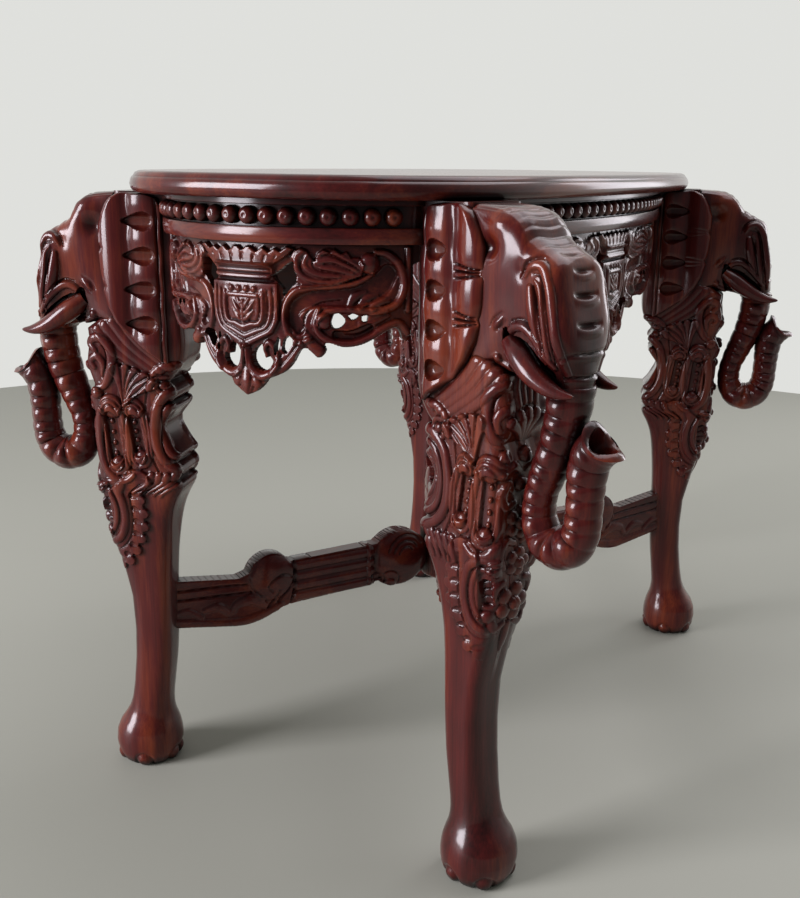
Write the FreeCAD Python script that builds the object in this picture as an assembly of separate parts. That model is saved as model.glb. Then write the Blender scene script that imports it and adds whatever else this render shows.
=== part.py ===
import FreeCAD, Part
import math
import os

from FreeCAD import Placement, Rotation, Vector

# A free-standing carved hall table on four elephant legs, in millimetres.
# Origin on the floor under the middle of the top, +X along the table, +Z up.

# Table top
TABLE_HEIGHT = 780.0
TOP_THICKNESS = 24.0
TOP_HALF_LENGTH = 510.0
TOP_HALF_WIDTH = 268.0
TOP_SQUARENESS = 2.95
TOP_EDGE_RADIUS = 11.0
TOP_OUTLINE_POINTS = 48
UNDERSIDE = TABLE_HEIGHT - TOP_THICKNESS
LEVEL_TOLERANCE = 0.1

# Leg layout: each leg has its own frame, with X outwards the way the elephant faces
FOOT_X = 390.0
FOOT_Y = 250.0
FACING_ANGLE = 72.1
CORNERS = {
    "left_back": (-1, 1),
    "left_front": (-1, -1),
    "right_front": (1, -1),
    "right_back": (1, 1),
}

# Leg post: foot and shank sections as height, front, back, half thickness, corner radius
POST_HALF_THICKNESS = 38.0
POST_BACK = -83.0
HEAD_SEAT = -5.0
SHOULDER_HEIGHT = 598.0
SHOULDER_FRONT = 43.0
BACK_BEND_HEIGHT = 575.0
KNEE_HEIGHT = 396.0
SHANK_SECTIONS = (
    (0.0, 38.0, -40.0, 38.0, 28.0),
    (10.0, 43.0, -45.0, 43.0, 32.0),
    (30.0, 46.0, -46.0, 46.0, 34.0),
    (52.0, 42.0, -45.0, 43.0, 32.0),
    (72.0, 31.0, -41.0, 36.0, 26.0),
    (92.0, 21.0, -38.0, 29.0, 20.0),
    (113.0, 15.0, -40.0, 27.0, 16.0),
    (153.0, 8.0, -46.0, 27.0, 13.0),
    (194.0, 6.0, -48.0, 27.0, 12.0),
    (240.0, 8.0, -49.0, 27.0, 12.0),
    (290.0, 19.0, -50.0, 28.0, 12.0),
    (325.0, 29.0, -53.0, 30.0, 12.0),
    (355.0, 33.0, -60.0, 33.0, 12.0),
    (KNEE_HEIGHT, 40.0, -72.0, POST_HALF_THICKNESS, 12.0),
)
KNEE_FRONT = ((42, 430), (42, 488), (48, 506), (36, 523), (46, 548), (40, 578))
KNEE_BACK = ((-79, 552), (-62, 524), (-69, 505), (-66, 485), (-56, 462), (-72, 432), (-69, 412))

# Ears: raised boards on the flanks of the post
EAR_OUTER = 48.6
EAR_BACK = -68.0
EAR_TOP_CORNER = ((-68, 738), (-63, 749), (-52, 753))
EAR_FRONT = ((-20, 755), (-2, 748), (9, 730), (14, 700), (13, 660), (6, 622), (-4, 602))
EAR_LOWER = ((-22, 582), (-45, 566), (-68, 552))

# Head sections as chin point, crown point, half width, corner radius
HEAD_SECTIONS = (
    ((HEAD_SEAT, 598.5), (HEAD_SEAT, 755.0), 37.5, 20.0),
    ((26.0, 598.5), (27.0, 752.0), 37.0, 22.0),
    ((50.0, 597.0), (61.0, 730.0), 34.0, 22.0),
    ((60.0, 595.0), (94.0, 708.0), 31.0, 22.0),
    ((66.0, 592.0), (111.0, 668.0), 28.0, 21.0),
    ((70.0, 590.0), (120.0, 628.0), 26.0, 20.0),
    ((71.0, 588.0), (122.0, 588.0), 25.0, 20.0),
)

# Trunk centre line as outward distance, height, radius
TRUNK_STATIONS = (
    (96.5, 588.0, 24.5),
    (94.0, 562.0, 23.0),
    (87.0, 532.0, 21.5),
    (76.0, 503.0, 19.5),
    (66.0, 474.0, 17.5),
    (65.0, 449.0, 18.5),
    (74.0, 430.0, 21.0),
    (91.0, 423.5, 23.5),
    (108.0, 430.0, 21.0),
    (118.0, 448.0, 18.5),
    (120.0, 478.0, 17.5),
    (121.0, 507.0, 18.5),
    (128.0, 529.0, 19.0),
    (145.0, 544.0, 15.5),
)

# Tusk centre line as outward, sideways, height, radius
TUSK_STATIONS = (
    (42.0, 28.0, 622.0, 10.0),
    (57.0, 31.0, 612.0, 11.0),
    (75.0, 33.5, 599.0, 9.5),
    (93.0, 35.0, 590.5, 7.5),
    (109.0, 35.0, 586.5, 5.0),
    (122.0, 34.0, 585.5, 2.2),
)

# Aprons: radius of the outer face, distance of its middle from the table's centre, half length,
# count of beads, and the upright plane behind the wall on which the crest is drawn
APRONS = {
    "end": {"radius": 220.0, "middle": 488.0, "half": 190.0, "beads": 16, "drawing_plane": 323.0},
    "side": {"radius": 1170.0, "middle": 245.0, "half": 328.0, "beads": 28, "drawing_plane": 0.0},
}
APRON_OVERRUN = 1.25
CUT_MARGIN = 1.0
LEG_SPACE_LENGTH = 220.0
LEG_SPACE_BEHIND = 60.0
LEG_SPACE_BELOW = 100.0
RAIL_THICKNESS = 22.0
RAIL_FOOT = 712.0
TENON_INSET = 3.0
TENON_THICKNESS = 8.0
TENON_FOOT = 720.0
TENON_HEIGHT = 28.0
TENON_DEPTH = 20.0
CHANNEL_FOOT = 728.0
CHANNEL_HEIGHT = 22.0
CHANNEL_DEPTH = 7.0
BEAD_RADIUS = 9.5
BEAD_PITCH = 22.1
BEAD_STRIP_THICKNESS = 3.0
BEAD_STRIP_GAP = 0.5
BEAD_SINK = 4.0
CREST_INSET = 3.0
CREST_THICKNESS = 16.0
TONGUE_INSET = 7.0
TONGUE_THICKNESS = 8.0
TONGUE_HEIGHT = 6.0

# Crest panel, right half: lower edge from the leg to the middle as distance along the arc, height
CREST_END_HEIGHT = 640.0
CREST_OVERRUN = 1.2
CREST_DRAWING_BEYOND = 50.0
CREST_FOOT_MARGIN = 5.0
CREST_LOWER = ((165, 637), (140, 616), (118, 611), (98, 614), (87, 600), (77, 607), (66, 604),
               (56, 588), (38, 574), (20, 566), (0, 553))
CREST_MIDDLE_WIDTH = 66.0
CREST_HOLES = (
    ((46, 698), (60, 703), (66, 690), (58, 672), (47, 676)),
    ((47, 656), (58, 660), (66, 640), (54, 615), (43, 622)),
    ((82, 694), (112, 700), (120, 690), (96, 680)),
    ((104, 646), (118, 650), (124, 634), (110, 626)),
    ((150, 672), (162, 676), (164, 656), (152, 652)),
    ((13, 596), (24, 596), (24, 584), (13, 584)),
)

# Stretcher: an upright cross of four scrolled arms, measured out from the middle
ARM_HALF_THICKNESS = 14.0
ARM_AXIS_ON_LEG = -21.5
ARM_TOP = 254.0
SCROLL_MIDDLE = (290.0, 234.0)
SCROLL_RADIUS = 35.0
VOLUTE_MIDDLE = (86.0, 226.0)
VOLUTE_HALF = (50.0, 42.0)
ARM_TOP_EDGE = ((452, 255), (338, 239), (300, 236), (258, ARM_TOP), (100, ARM_TOP))
ARM_BELLY = ((100, 192), (258, 188), (282, 181), (306, 173), (333, 170), (372, 176), (452, 190))
ARM_TENON_HALF_THICKNESS = 6.0
ARM_TENON_FOOT = 203.0
ARM_TENON_HEIGHT = 36.0
ARM_LEG_TENON = (392.0, 432.0)
ARM_HUB_TENON = (18.0, 67.0)
HUB_RADIUS = 37.5
HUB_FOOT = 184.0
HUB_HEIGHT = 84.0
HUB_EDGE_RADIUS = 10.0

# Corner blocks and hardware
BLOCK_BACK = -125.0
BLOCK_HALF_WIDTH = 36.0
BLOCK_FOOT = 716.0
SCREW_RADIUS = 2.25
SCREW_HEAD_RADIUS = 4.5
SCREW_HEAD_HEIGHT = 4.0
TOP_SCREW_BITE = 14.0
TOP_SCREW_PLACES = ((-106.0, -20.0), (-106.0, 20.0))
BLOCK_SCREW_HEIGHTS = (726.0, 746.0)
BLOCK_SCREW_LENGTH = 70.0
HEAD_DOWEL_RADIUS = 5.0
HEAD_DOWEL_LENGTH = 50.0
HEAD_DOWEL_HEIGHTS = (655.0, 715.0)
TRUNK_DOWEL_RADIUS = 6.0
TRUNK_DOWEL_SPAN = (566.0, 612.0)

UP = Vector(0, 0, 1)
OUTWARD = Vector(1, 0, 0)
SIDEWAYS = Vector(0, 1, 0)


def rounded_loop(middle, first, second, first_half, second_half, corner):
    """A rectangle with round corners, in the plane of two unit directions."""
    def at(a, b):
        return middle + first * a + second * b

    diagonal = corner * (1 - math.sqrt(0.5))
    edges = []
    for sa, sb in ((1, 1), (-1, 1), (-1, -1), (1, -1)):
        along_first = at(sa * (first_half - corner), sb * second_half)
        along_second = at(sa * first_half, sb * (second_half - corner))
        bend = at(sa * (first_half - diagonal), sb * (second_half - diagonal))
        start, end = (along_second, along_first) if sa * sb > 0 else (along_first, along_second)
        edges.append((start, bend, end))
    wire = []
    for (start, bend, end), following in zip(edges, edges[1:] + edges[:1]):
        wire.append(Part.Arc(start, bend, end).toShape())
        wire.append(Part.makeLine(end, following[0]))
    return Part.Wire(wire)


def ring(middle, along, radius):
    """A circle across a path that runs close to the leg's upright middle plane."""
    across = SIDEWAYS - along * along.dot(SIDEWAYS)
    across.normalize()
    normal = along.cross(across)
    points = (middle + across * radius, middle + normal * radius,
              middle - across * radius, middle - normal * radius)
    half = Part.Arc(points[0], points[1], points[2]).toShape()
    other = Part.Arc(points[2], points[3], points[0]).toShape()
    return Part.Wire([half, other])


def tapered_tube(stations):
    """A solid through circles, from (point, radius) pairs."""
    wires = []
    last = len(stations) - 1
    for i, (point, radius) in enumerate(stations):
        along = stations[min(i + 1, last)][0] - stations[max(i - 1, 0)][0]
        along.normalize()
        wires.append(ring(point, along, radius))
    return Part.makeLoft(wires, True, False)


def curve_through(points):
    curve = Part.BSplineCurve()
    curve.interpolate(points)
    return curve.toShape()


def plate(edges, direction):
    """A closed run of edges as a face, pushed along a direction."""
    return Part.Face(Part.Wire(edges)).extrude(direction)


def side_point(outward, height, sideways=0.0):
    return Vector(outward, sideways, height)


def facing(corner):
    """The turn about +Z that points a leg's own X axis the way its elephant faces."""
    sx, sy = CORNERS[corner]
    slant = math.radians(FACING_ANGLE)
    return math.degrees(math.atan2(sy * math.sin(slant), sx * math.cos(slant)))


def leg_placement(corner):
    sx, sy = CORNERS[corner]
    return Placement(Vector(sx * FOOT_X, sy * FOOT_Y, 0), Rotation(UP, facing(corner)))


def at_corner(shape, corner):
    placed = shape.copy()
    placed.Placement = leg_placement(corner)
    return placed


def turned(shape, degrees):
    copy = shape.copy()
    copy.rotate(Vector(0, 0, 0), UP, degrees)
    return copy


def middle_solid(shape):
    """The largest solid left after a curved piece has been cut off at the legs."""
    return max(shape.Solids, key=lambda solid: solid.Volume)


def level_edges(shape):
    return [edge for edge in shape.Edges if edge.BoundBox.ZLength < LEVEL_TOLERANCE]


def make_top():
    points = []
    for i in range(TOP_OUTLINE_POINTS):
        angle = 2 * math.pi * i / TOP_OUTLINE_POINTS
        c, s = math.cos(angle), math.sin(angle)
        x = TOP_HALF_LENGTH * math.copysign(abs(c) ** (2 / TOP_SQUARENESS), c)
        y = TOP_HALF_WIDTH * math.copysign(abs(s) ** (2 / TOP_SQUARENESS), s)
        points.append(Vector(x, y, UNDERSIDE))
    outline = Part.BSplineCurve()
    outline.interpolate(points, PeriodicFlag=True)
    slab = plate([outline.toShape()], UP * TOP_THICKNESS)
    return slab.makeFillet(TOP_EDGE_RADIUS, level_edges(slab))


def make_post():
    """Foot and shank as a loft, then the carved knee and upper block from its side outline."""
    wires = []
    for height, front, back, half, corner in SHANK_SECTIONS:
        middle = Vector((front + back) / 2, 0, height)
        wires.append(rounded_loop(middle, OUTWARD, SIDEWAYS, (front - back) / 2, half, corner))
    shank = Part.makeLoft(wires, True, False)

    knee_front, knee_back = SHANK_SECTIONS[-1][1:3]
    rear = -POST_HALF_THICKNESS
    front_foot = side_point(knee_front, KNEE_HEIGHT, rear)
    front_head = side_point(SHOULDER_FRONT, SHOULDER_HEIGHT, rear)
    seat_foot = side_point(HEAD_SEAT, SHOULDER_HEIGHT, rear)
    seat_head = side_point(HEAD_SEAT, UNDERSIDE, rear)
    back_head = side_point(POST_BACK, UNDERSIDE, rear)
    back_bend = side_point(POST_BACK, BACK_BEND_HEIGHT, rear)
    back_foot = side_point(knee_back, KNEE_HEIGHT, rear)
    front = [front_foot] + [side_point(s, z, rear) for s, z in KNEE_FRONT] + [front_head]
    back = [back_bend] + [side_point(s, z, rear) for s, z in KNEE_BACK] + [back_foot]
    block = plate([
        curve_through(front),
        Part.makeLine(front_head, seat_foot),
        Part.makeLine(seat_foot, seat_head),
        Part.makeLine(seat_head, back_head),
        Part.makeLine(back_head, back_bend),
        curve_through(back),
        Part.makeLine(back_foot, front_foot),
    ], SIDEWAYS * (2 * POST_HALF_THICKNESS))
    return shank.fuse(block).removeSplitter()


def make_ear(side):
    inner = side * POST_HALF_THICKNESS
    depth = side * (EAR_OUTER - POST_HALF_THICKNESS)
    corner = [side_point(s, z, inner) for s, z in EAR_TOP_CORNER]
    front = [corner[-1]] + [side_point(s, z, inner) for s, z in EAR_FRONT]
    lower = [front[-1]] + [side_point(s, z, inner) for s, z in EAR_LOWER]
    return plate([
        Part.Arc(*corner).toShape(),
        curve_through(front),
        curve_through(lower),
        Part.makeLine(lower[-1], corner[0]),
    ], SIDEWAYS * depth)


def make_head():
    wires = []
    for chin, crown, half_width, corner in HEAD_SECTIONS:
        low = side_point(*chin)
        high = side_point(*crown)
        rise = high - low
        half_rise = rise.Length / 2
        rise.normalize()
        wires.append(rounded_loop((low + high) * 0.5, rise, SIDEWAYS, half_rise, half_width, corner))
    return Part.makeLoft(wires, True, False)


def make_trunk():
    return tapered_tube([(side_point(s, z), radius) for s, z, radius in TRUNK_STATIONS])


def make_tusk(side):
    return tapered_tube([(Vector(s, side * t, z), radius) for s, t, z, radius in TUSK_STATIONS])


def make_head_dowels():
    start = HEAD_SEAT - HEAD_DOWEL_LENGTH / 2
    return [Part.makeCylinder(HEAD_DOWEL_RADIUS, HEAD_DOWEL_LENGTH, side_point(start, z), OUTWARD)
            for z in HEAD_DOWEL_HEIGHTS]


def make_trunk_dowel():
    low, high = TRUNK_DOWEL_SPAN
    return Part.makeCylinder(TRUNK_DOWEL_RADIUS, high - low, side_point(TRUNK_STATIONS[0][0], low))


def make_screw(head_point, direction, length):
    shank = Part.makeCylinder(SCREW_RADIUS, length, head_point, direction)
    head = Part.makeCone(SCREW_HEAD_RADIUS, SCREW_RADIUS, SCREW_HEAD_HEIGHT, head_point, direction)
    return shank.fuse(head).removeSplitter()


def make_corner_block():
    corner = Vector(BLOCK_BACK, -BLOCK_HALF_WIDTH, BLOCK_FOOT)
    return Part.makeBox(POST_BACK - BLOCK_BACK, 2 * BLOCK_HALF_WIDTH, UNDERSIDE - BLOCK_FOOT, corner)


def make_top_screws():
    length = UNDERSIDE - BLOCK_FOOT + TOP_SCREW_BITE
    return [make_screw(Vector(s, t, BLOCK_FOOT), UP, length) for s, t in TOP_SCREW_PLACES]


def make_block_screws():
    return [make_screw(side_point(BLOCK_BACK, z), OUTWARD, BLOCK_SCREW_LENGTH)
            for z in BLOCK_SCREW_HEIGHTS]


def leg_reach(half_width):
    """The space that a leg's upper post takes from the aprons, out to a half width."""
    low = Vector(POST_BACK - LEG_SPACE_BEHIND, -half_width, SHOULDER_HEIGHT - LEG_SPACE_BELOW)
    return Part.makeBox(LEG_SPACE_LENGTH, 2 * half_width, UNDERSIDE, low)


def ear_reach():
    """The space that a leg's two ears take from the aprons."""
    low = Vector(EAR_BACK, -EAR_OUTER, SHOULDER_HEIGHT - LEG_SPACE_BELOW)
    return Part.makeBox(LEG_SPACE_BEHIND - EAR_BACK, 2 * EAR_OUTER, UNDERSIDE, low)


def bowed_band(apron, inset, thickness, foot, height):
    """A slice of the apron's curved wall, facing +X, longer than the apron at both ends."""
    radius = apron["radius"] - inset
    axis = Vector(apron["middle"] - apron["radius"], 0, foot)
    spread = math.degrees(APRON_OVERRUN * apron["half"] / apron["radius"])
    outer = Part.makeCylinder(radius, height, axis, UP, 2 * spread)
    inner = Part.makeCylinder(radius - thickness, height, axis, UP, 2 * spread)
    band = outer.cut(inner)
    band.rotate(axis, UP, -spread)
    return band


def on_arc(apron, along, height, inset=0.0):
    """The point of the apron's wall at a distance along its arc."""
    angle = along / apron["radius"]
    reach = apron["radius"] - inset
    axis = apron["middle"] - apron["radius"]
    return Vector(axis + reach * math.cos(angle), reach * math.sin(angle), height)


def flat_outline(apron, points, mirror, plane):
    """Arc distances of a crest outline laid on a flat plane in front of the apron."""
    stretch = (apron["half"] - CREST_MIDDLE_WIDTH) / (APRONS["end"]["half"] - CREST_MIDDLE_WIDTH)
    flat = []
    for along, height in points:
        beyond = max(along - CREST_MIDDLE_WIDTH, 0)
        along = min(along, CREST_MIDDLE_WIDTH) + beyond * stretch
        flat.append(Vector(plane, mirror * on_arc(apron, along, height).y, height))
    return flat


def make_crest(apron):
    """The pierced panel: a flat drawing pushed through the curved wall, with its tongue."""
    plane = apron["drawing_plane"]
    push = Vector(apron["middle"] + CREST_DRAWING_BEYOND - plane, 0, 0)
    end = APRONS["end"]["half"] * CREST_OVERRUN
    lower = ((end, CREST_END_HEIGHT),) + CREST_LOWER
    right = flat_outline(apron, lower, 1, plane)
    left = flat_outline(apron, lower, -1, plane)
    right_top = Vector(plane, right[0].y, RAIL_FOOT)
    left_top = Vector(plane, left[0].y, RAIL_FOOT)
    blank = plate([
        Part.makeLine(left_top, right_top),
        Part.makeLine(right_top, right[0]),
        curve_through(right),
        curve_through(left[::-1]),
        Part.makeLine(left[0], left_top),
    ], push)
    holes = []
    for points in CREST_HOLES:
        for mirror in (1, -1):
            flat = flat_outline(apron, points, mirror, plane)
            holes.append(plate([Part.makePolygon(flat + flat[:1])], push))
    height = RAIL_FOOT - CREST_LOWER[-1][1] + CREST_FOOT_MARGIN
    wall = bowed_band(apron, CREST_INSET, CREST_THICKNESS, RAIL_FOOT - height, height)
    panel = wall.common(blank.cut(holes))
    tongue = bowed_band(apron, TONGUE_INSET, TONGUE_THICKNESS, RAIL_FOOT, TONGUE_HEIGHT)
    return panel.fuse(tongue).removeSplitter()


def make_channel(apron):
    """The space in front of the rail that holds the bead strip."""
    return bowed_band(apron, -CUT_MARGIN, CHANNEL_DEPTH + CUT_MARGIN, CHANNEL_FOOT, CHANNEL_HEIGHT)


def make_rail(apron):
    body = bowed_band(apron, 0, RAIL_THICKNESS, RAIL_FOOT, UNDERSIDE - RAIL_FOOT)
    groove = bowed_band(apron, TONGUE_INSET, TONGUE_THICKNESS, RAIL_FOOT, TONGUE_HEIGHT)
    return body.cut([make_channel(apron), groove])


def make_bead_strip(apron):
    foot = CHANNEL_FOOT + BEAD_STRIP_GAP
    height = CHANNEL_HEIGHT - 2 * BEAD_STRIP_GAP
    back = CHANNEL_DEPTH
    strip = bowed_band(apron, back - BEAD_STRIP_THICKNESS, BEAD_STRIP_THICKNESS, foot, height)
    beads = []
    for i in range(apron["beads"]):
        along = (i - (apron["beads"] - 1) / 2) * BEAD_PITCH
        beads.append(Part.makeSphere(BEAD_RADIUS, on_arc(apron, along, foot + height / 2, BEAD_SINK)))
    wall = bowed_band(apron, back, RAIL_THICKNESS, foot - CUT_MARGIN, height + 2 * CUT_MARGIN)
    return strip.fuse(beads).removeSplitter().cut(wall)


def make_rail_tenons(apron):
    return bowed_band(apron, TENON_INSET, TENON_THICKNESS, TENON_FOOT, TENON_HEIGHT)


def arm_point(along, height, sideways=0.0):
    return Vector(along, sideways, height)


def make_arm():
    """One stretcher arm along +X, with its scrolls and its two tenons."""
    rear = -ARM_HALF_THICKNESS
    depth = SIDEWAYS * (2 * ARM_HALF_THICKNESS)
    top = [arm_point(r, z, rear) for r, z in ARM_TOP_EDGE]
    belly = [arm_point(r, z, rear) for r, z in ARM_BELLY]
    beam = plate([Part.makePolygon(top + [belly[0]]),
                  Part.makeLine(belly[0], belly[1]),
                  curve_through(belly[1:]),
                  Part.makeLine(belly[-1], top[0])], depth)
    scroll = Part.makeCylinder(SCROLL_RADIUS, 2 * ARM_HALF_THICKNESS,
                               arm_point(*SCROLL_MIDDLE, rear), SIDEWAYS)
    oval = Part.Ellipse(arm_point(VOLUTE_MIDDLE[0] + VOLUTE_HALF[0], VOLUTE_MIDDLE[1], rear),
                        arm_point(VOLUTE_MIDDLE[0], VOLUTE_MIDDLE[1] + VOLUTE_HALF[1], rear),
                        arm_point(*VOLUTE_MIDDLE, rear))
    volute = plate([oval.toShape()], depth)
    return beam.fuse([scroll, volute]).removeSplitter()


def make_arm_tenon(start, end):
    low = arm_point(start, ARM_TENON_FOOT, -ARM_TENON_HALF_THICKNESS)
    return Part.makeBox(end - start, 2 * ARM_TENON_HALF_THICKNESS, ARM_TENON_HEIGHT, low)


def make_hub():
    hub = Part.makeCylinder(HUB_RADIUS, HUB_HEIGHT, Vector(0, 0, HUB_FOOT))
    return hub.makeFillet(HUB_EDGE_RADIUS, level_edges(hub))


def arm_angle(corner):
    """The turn from +X to the middle of a leg's shank."""
    middle = leg_placement(corner).multVec(Vector(ARM_AXIS_ON_LEG, 0, 0))
    return math.degrees(math.atan2(middle.y, middle.x))


def build_legs(parts):
    post = make_post()
    ears = {"left": make_ear(1), "right": make_ear(-1)}
    tusks = {"left": make_tusk(1), "right": make_tusk(-1)}
    head_dowels = make_head_dowels()
    trunk_dowel = make_trunk_dowel()
    head = make_head()
    trunk = make_trunk().cut([head, trunk_dowel])
    head = head.cut([post, trunk_dowel] + head_dowels + list(ears.values()) + list(tusks.values()))
    post = post.cut(head_dowels)
    for corner in CORNERS:
        parts["leg_post_" + corner] = at_corner(post, corner)
        parts["elephant_head_" + corner] = at_corner(head, corner)
        parts["elephant_trunk_" + corner] = at_corner(trunk, corner)
        for side in ("left", "right"):
            parts["ear_{}_{}".format(side, corner)] = at_corner(ears[side], corner)
            parts["tusk_{}_{}".format(side, corner)] = at_corner(tusks[side], corner)
    groups = {"head_dowels": head_dowels, "trunk_dowels": [trunk_dowel]}
    for name, pieces in groups.items():
        parts[name] = Part.makeCompound([at_corner(p, c) for c in CORNERS for p in pieces])


def build_aprons(parts):
    posts = [at_corner(leg_reach(POST_HALF_THICKNESS), corner) for corner in CORNERS]
    cores = [at_corner(leg_reach(POST_HALF_THICKNESS - TENON_DEPTH), corner) for corner in CORNERS]
    ears = [at_corner(ear_reach(), corner) for corner in CORNERS]
    places = {"end_right": ("end", 0), "side_back": ("side", 90),
              "end_left": ("end", 180), "side_front": ("side", 270)}
    tenons = []
    for name, (kind, degrees) in places.items():
        apron = APRONS[kind]
        tenon = middle_solid(turned(make_rail_tenons(apron), degrees).cut(cores))
        rail = middle_solid(turned(make_rail(apron), degrees).cut(posts + ears))
        tenon_ends = tenon.cut(turned(make_channel(apron), degrees))
        parts["apron_rail_" + name] = rail.fuse(tenon_ends).removeSplitter()
        parts["bead_strip_" + name] = middle_solid(turned(make_bead_strip(apron), degrees).cut(posts + ears))
        parts["crest_panel_" + name] = middle_solid(turned(make_crest(apron), degrees).cut(posts + ears))
        tenons.append(tenon)
    for corner in CORNERS:
        name = "leg_post_" + corner
        parts[name] = parts[name].cut(tenons)


def build_stretcher(parts):
    hub = make_hub()
    arm = make_arm()
    leg_tenon = make_arm_tenon(*ARM_LEG_TENON)
    hub_tenon = make_arm_tenon(*ARM_HUB_TENON)
    for corner in CORNERS:
        turn = arm_angle(corner)
        post = "leg_post_" + corner
        body = middle_solid(turned(arm, turn).cut([parts[post], hub]))
        tenons = [turned(leg_tenon, turn), turned(hub_tenon, turn)]
        parts["stretcher_arm_" + corner] = body.fuse(tenons).removeSplitter()
        parts[post] = parts[post].cut(tenons[0])
        hub = hub.cut(tenons[1])
    parts["stretcher_hub"] = hub


def build_hardware(parts):
    block = make_corner_block()
    top_screws = make_top_screws()
    block_screws = make_block_screws()
    block = block.cut(top_screws + block_screws)
    for corner in CORNERS:
        post = "leg_post_" + corner
        parts["corner_block_" + corner] = at_corner(block, corner)
        parts[post] = parts[post].cut([at_corner(s, corner) for s in block_screws])
    groups = {"top_screws": top_screws, "corner_block_screws": block_screws}
    for name, pieces in groups.items():
        parts[name] = Part.makeCompound([at_corner(p, c) for c in CORNERS for p in pieces])
    parts["table_top"] = make_top().cut(parts["top_screws"].Solids)


def main():
    os.makedirs("parts", exist_ok=True)
    parts = {}
    build_legs(parts)
    build_aprons(parts)
    build_stretcher(parts)
    build_hardware(parts)
    for name, shape in parts.items():
        shape.exportStep(os.path.join("parts", name + ".step"))
        box = shape.BoundBox
        print(name, len(shape.Solids), shape.isValid(), round(shape.Volume / 1000), "cm3",
              [round(v) for v in (box.XMin, box.XMax, box.YMin, box.YMax, box.ZMin, box.ZMax)])


main()
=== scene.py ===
import math

import bpy
import numpy as np
from mathutils import Matrix, Vector
from mathutils.kdtree import KDTree


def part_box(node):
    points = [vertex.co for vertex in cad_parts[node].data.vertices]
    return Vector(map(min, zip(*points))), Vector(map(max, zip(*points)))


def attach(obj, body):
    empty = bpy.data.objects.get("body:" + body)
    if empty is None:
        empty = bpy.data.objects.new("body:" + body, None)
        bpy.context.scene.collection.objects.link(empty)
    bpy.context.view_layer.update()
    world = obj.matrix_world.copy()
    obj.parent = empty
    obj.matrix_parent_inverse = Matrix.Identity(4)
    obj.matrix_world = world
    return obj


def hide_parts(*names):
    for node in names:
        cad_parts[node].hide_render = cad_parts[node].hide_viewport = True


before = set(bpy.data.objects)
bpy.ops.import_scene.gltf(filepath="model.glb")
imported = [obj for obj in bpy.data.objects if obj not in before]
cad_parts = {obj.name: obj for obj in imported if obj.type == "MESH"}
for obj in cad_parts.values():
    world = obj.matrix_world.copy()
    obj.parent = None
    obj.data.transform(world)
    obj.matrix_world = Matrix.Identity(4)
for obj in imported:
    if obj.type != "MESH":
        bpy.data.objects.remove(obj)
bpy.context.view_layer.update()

mm = 0.001
bpy.ops.object.select_all(action="DESELECT")
print("frame loaded:", len(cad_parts), "nodes")

# Finishes

class Socket:
    # one shader value, so that sums and products read as plain sums
    def __init__(self, shades, socket):
        self.shades = shades
        self.socket = socket

    def math(self, operation, other, swap=False):
        pair = (other, self) if swap else (self, other)
        return self.shades.node("ShaderNodeMath", {"operation": operation}, {0: pair[0], 1: pair[1]})

    def __add__(self, other):
        return self.math("ADD", other)

    def __radd__(self, other):
        return self.math("ADD", other, True)

    def __sub__(self, other):
        return self.math("SUBTRACT", other)

    def __rsub__(self, other):
        return self.math("SUBTRACT", other, True)

    def __mul__(self, other):
        return self.math("MULTIPLY", other)

    def __rmul__(self, other):
        return self.math("MULTIPLY", other, True)

    def __pow__(self, other):
        return self.math("POWER", other)

    def larger(self, other):
        return self.math("MAXIMUM", other)


class Shades:
    # the nodes of a finish or of the backdrop
    def __init__(self, tree):
        self.tree = tree

    def node(self, kind, settings=None, inputs=None, output=0):
        # output is the name or number of one output, or a tuple of them
        made = self.tree.nodes.new(kind)
        for name, value in (settings or {}).items():
            if name == "stops":
                self.fillRamp(made.color_ramp, value)
            else:
                setattr(made, name, value)
        for name, value in (inputs or {}).items():
            self.feed(made.inputs[name], value)
        if isinstance(output, tuple):
            return [Socket(self, made.outputs[name]) for name in output]
        return Socket(self, made.outputs[output])

    def fillRamp(self, ramp, stops):
        while len(ramp.elements) < len(stops):
            ramp.elements.new(0.5)
        for element, (place, colour) in zip(ramp.elements, stops):
            element.position = place
            element.color = (*colour, 1)

    def feed(self, socket, value):
        if isinstance(value, Socket):
            self.tree.links.new(value.socket, socket)
        elif hasattr(value, "__len__") and socket.type == "RGBA":
            socket.default_value = (*value, 1)
        else:
            socket.default_value = value

    def mix(self, amount, first, second):
        # two colours
        return self.node("ShaderNodeMix", {"data_type": "RGBA"}, {0: amount, 6: first, 7: second}, 2)

    def noise(self, vector, scale, detail, **more):
        inputs = {"Vector": vector, "Scale": scale, "Detail": detail, **more}
        return self.node("ShaderNodeTexNoise", {}, inputs)


class Paint(Shades):
    def __init__(self, name):
        self.material = bpy.data.materials.new(name)
        self.material.use_nodes = True
        super().__init__(self.material.node_tree)
        self.shader = self.tree.nodes["Principled BSDF"]
        self.place = self.node("ShaderNodeTexCoord", output="Object")

    def finish(self, **inputs):
        for name, value in inputs.items():
            self.feed(self.shader.inputs[name.replace("_", " ")], value)
        return self.material


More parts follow.
